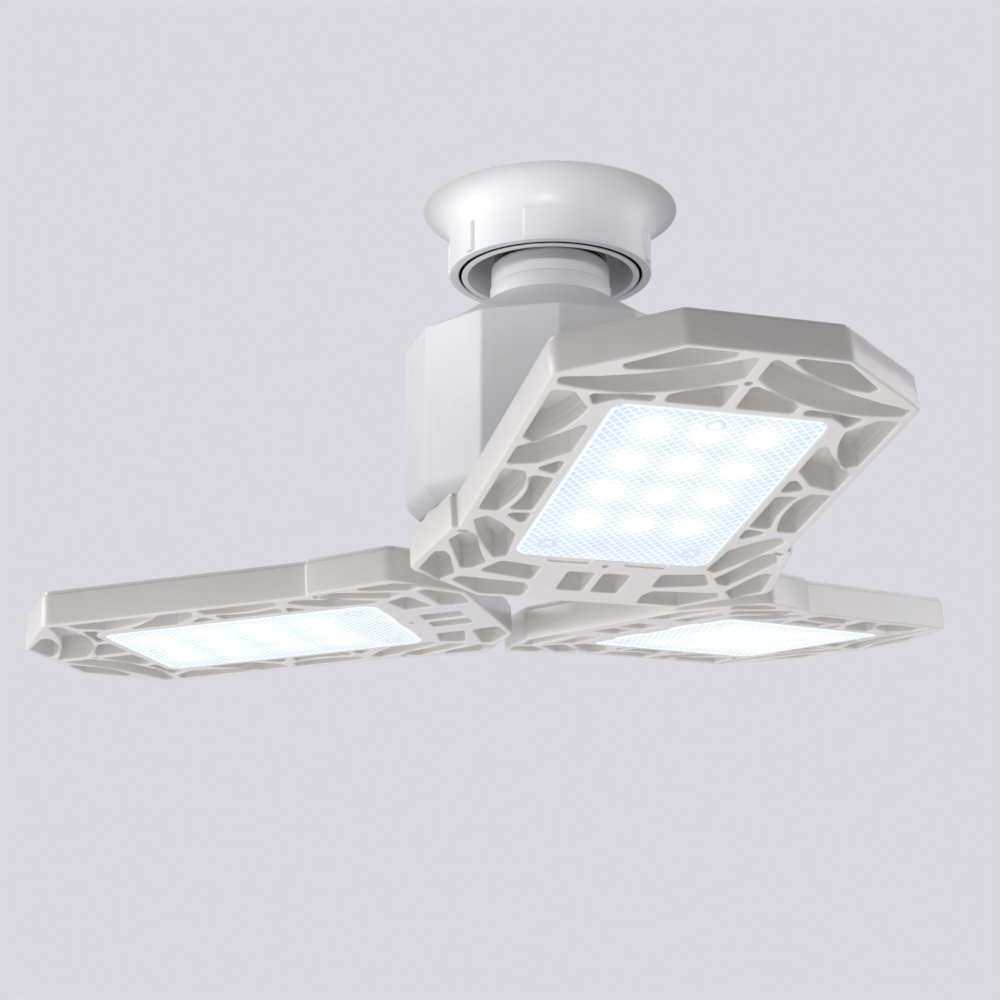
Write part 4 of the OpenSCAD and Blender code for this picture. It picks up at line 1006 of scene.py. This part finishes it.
# The same for nodes that each panel has
perPanel = {
    "bracket_steel": {"hinge_bracket": 0.35, "hinge_leaf": 0.35},
    "screw_steel": {"hinge_pin": 0.4, "board_screws": 0.25, "leaf_screws": 0.25},
    "board_white": {"led_board": 0.15},
    "led_glow": {"leds": 0.12},
    "wire_red": {"panel_lead": 0},
}
for slot, nodes in carried.items():
    for name, edge in nodes.items():
        dress(name, slot, edge)
for slot, nodes in perPanel.items():
    for name, edge in nodes.items():
        for side in panels:
            dress(name + "_" + side, slot, edge)
print("CAD nodes dressed")


# Lengths of the stage are in metres. A soft lamp has its power, size and place.
studio = {
    "target": (0, 0, -0.09), "seen": (0.70, 0.69, 0.75), "ambient": 0.24,
    "left": (9.2, 1.0, (-1.28, 0.34, 0.1)), "right": (5.0, 1.0, (1.3, -0.11, 0.1)),
    "under": (3.8, 1.1, (0.0, 0.15, -0.96)), "lowLeft": (4.0, 1.0, (-1.1, 0.2, -0.7)),
    "lowFront": (3.0, 1.0, (-0.5, -0.8, -0.9)),
}
# A narrow lamp on the lampholder alone
holderSpot = {"power": 17.0, "angle": 8, "blend": 0.5, "size": 0.06, "at": (-0.3, -0.72, 0.06),
              "target": (0, 0, 0.015)}
floorLook = {"height": -1.7, "half": 40, "glow": 0.85}  # the glow is the share of its own light where seen


def addLamp(name, kind, power, at, target):
    light = bpy.data.lights.new(name, kind)
    light.energy = power
    stand = bpy.data.objects.new(name, light)
    stand.location = at
    stand.rotation_euler = (Vector(target) - Vector(at)).to_track_quat("-Z", "Y").to_euler()
    bpy.context.collection.objects.link(stand)
    return light


# What is seen or reflected of the world and the floor is pale, and what lights the part is dimmer
def seenRays(tree):
    path = tree.nodes.new("ShaderNodeLightPath")
    seen, glossy, clear = [Signal(tree, path.outputs["Is " + kind + " Ray"])
                           for kind in ("Camera", "Glossy", "Transmission")]
    return seen.math("MAXIMUM", glossy).math("MAXIMUM", clear)


def addFloor():
    finish = plastic("floorPale", (0.80, 0.80, 0.81), (0.78, 0.78, 0.79), 0.7)
    tree = finish.node_tree
    rays = seenRays(tree)
    pale = rays.node("ShaderNodeEmission", {"Color": colour(*studio["seen"])})
    plain = Signal(tree, tree.nodes["Principled BSDF"].outputs[0])
    mixed = rays.node("ShaderNodeMixShader", {0: rays * floorLook["glow"], 1: plain, 2: pale})
    tree.links.new(mixed.socket, tree.nodes["Material Output"].inputs["Surface"])
    far, low = floorLook["half"], floorLook["height"]
    mesh = bpy.data.meshes.new("floor")
    corners = [(-far, -far, low), (far, -far, low), (far, far, low), (-far, far, low)]
    mesh.from_pydata(corners, [], [(0, 1, 2, 3)])
    mesh.materials.append(finish)
    floor = bpy.data.objects.new("floor", mesh)
    bpy.context.collection.objects.link(floor)


def addWorld():
    world = bpy.data.worlds.new("studio")
    bpy.context.scene.world = world
    world.use_nodes = True
    tree = world.node_tree
    background = tree.nodes["Background"]
    background.inputs["Color"].default_value = colour(*studio["seen"])
    rays = seenRays(tree)
    dim = rays.node("ShaderNodeBackground", {"Color": colour(1, 1, 1), "Strength": studio["ambient"]})
    mixed = rays.node("ShaderNodeMixShader", {0: rays, 1: dim, 2: Signal(tree, background.outputs[0])})
    tree.links.new(mixed.socket, tree.nodes["World Output"].inputs["Surface"])


for name in ("left", "right", "under", "lowLeft", "lowFront"):
    power, size, at = studio[name]
    addLamp(name, "AREA", power, at, studio["target"]).size = size
spotLight = addLamp("holderSpot", "SPOT", holderSpot["power"], holderSpot["at"], holderSpot["target"])
spotLight.spot_size = np.radians(holderSpot["angle"])
spotLight.spot_blend = holderSpot["blend"]
spotLight.shadow_soft_size = holderSpot["size"]
addFloor()
addWorld()

view = {"at": (-0.1904, -0.5796, -0.2627), "azimuth": 73.34, "up": 15.23, "lens": 72.76, "sensor": 36}
cameraData = bpy.data.cameras.new("camera")
cameraData.lens = view["lens"]
cameraData.sensor_width = view["sensor"]
camera = bpy.data.objects.new("camera", cameraData)
camera.location = view["at"]
camera.rotation_euler = (np.radians(90 + view["up"]), 0, np.radians(view["azimuth"] - 90))
bpy.context.collection.objects.link(camera)
bpy.context.scene.camera = camera
bpy.context.scene.view_settings.view_transform = "Standard"
print("stage set")
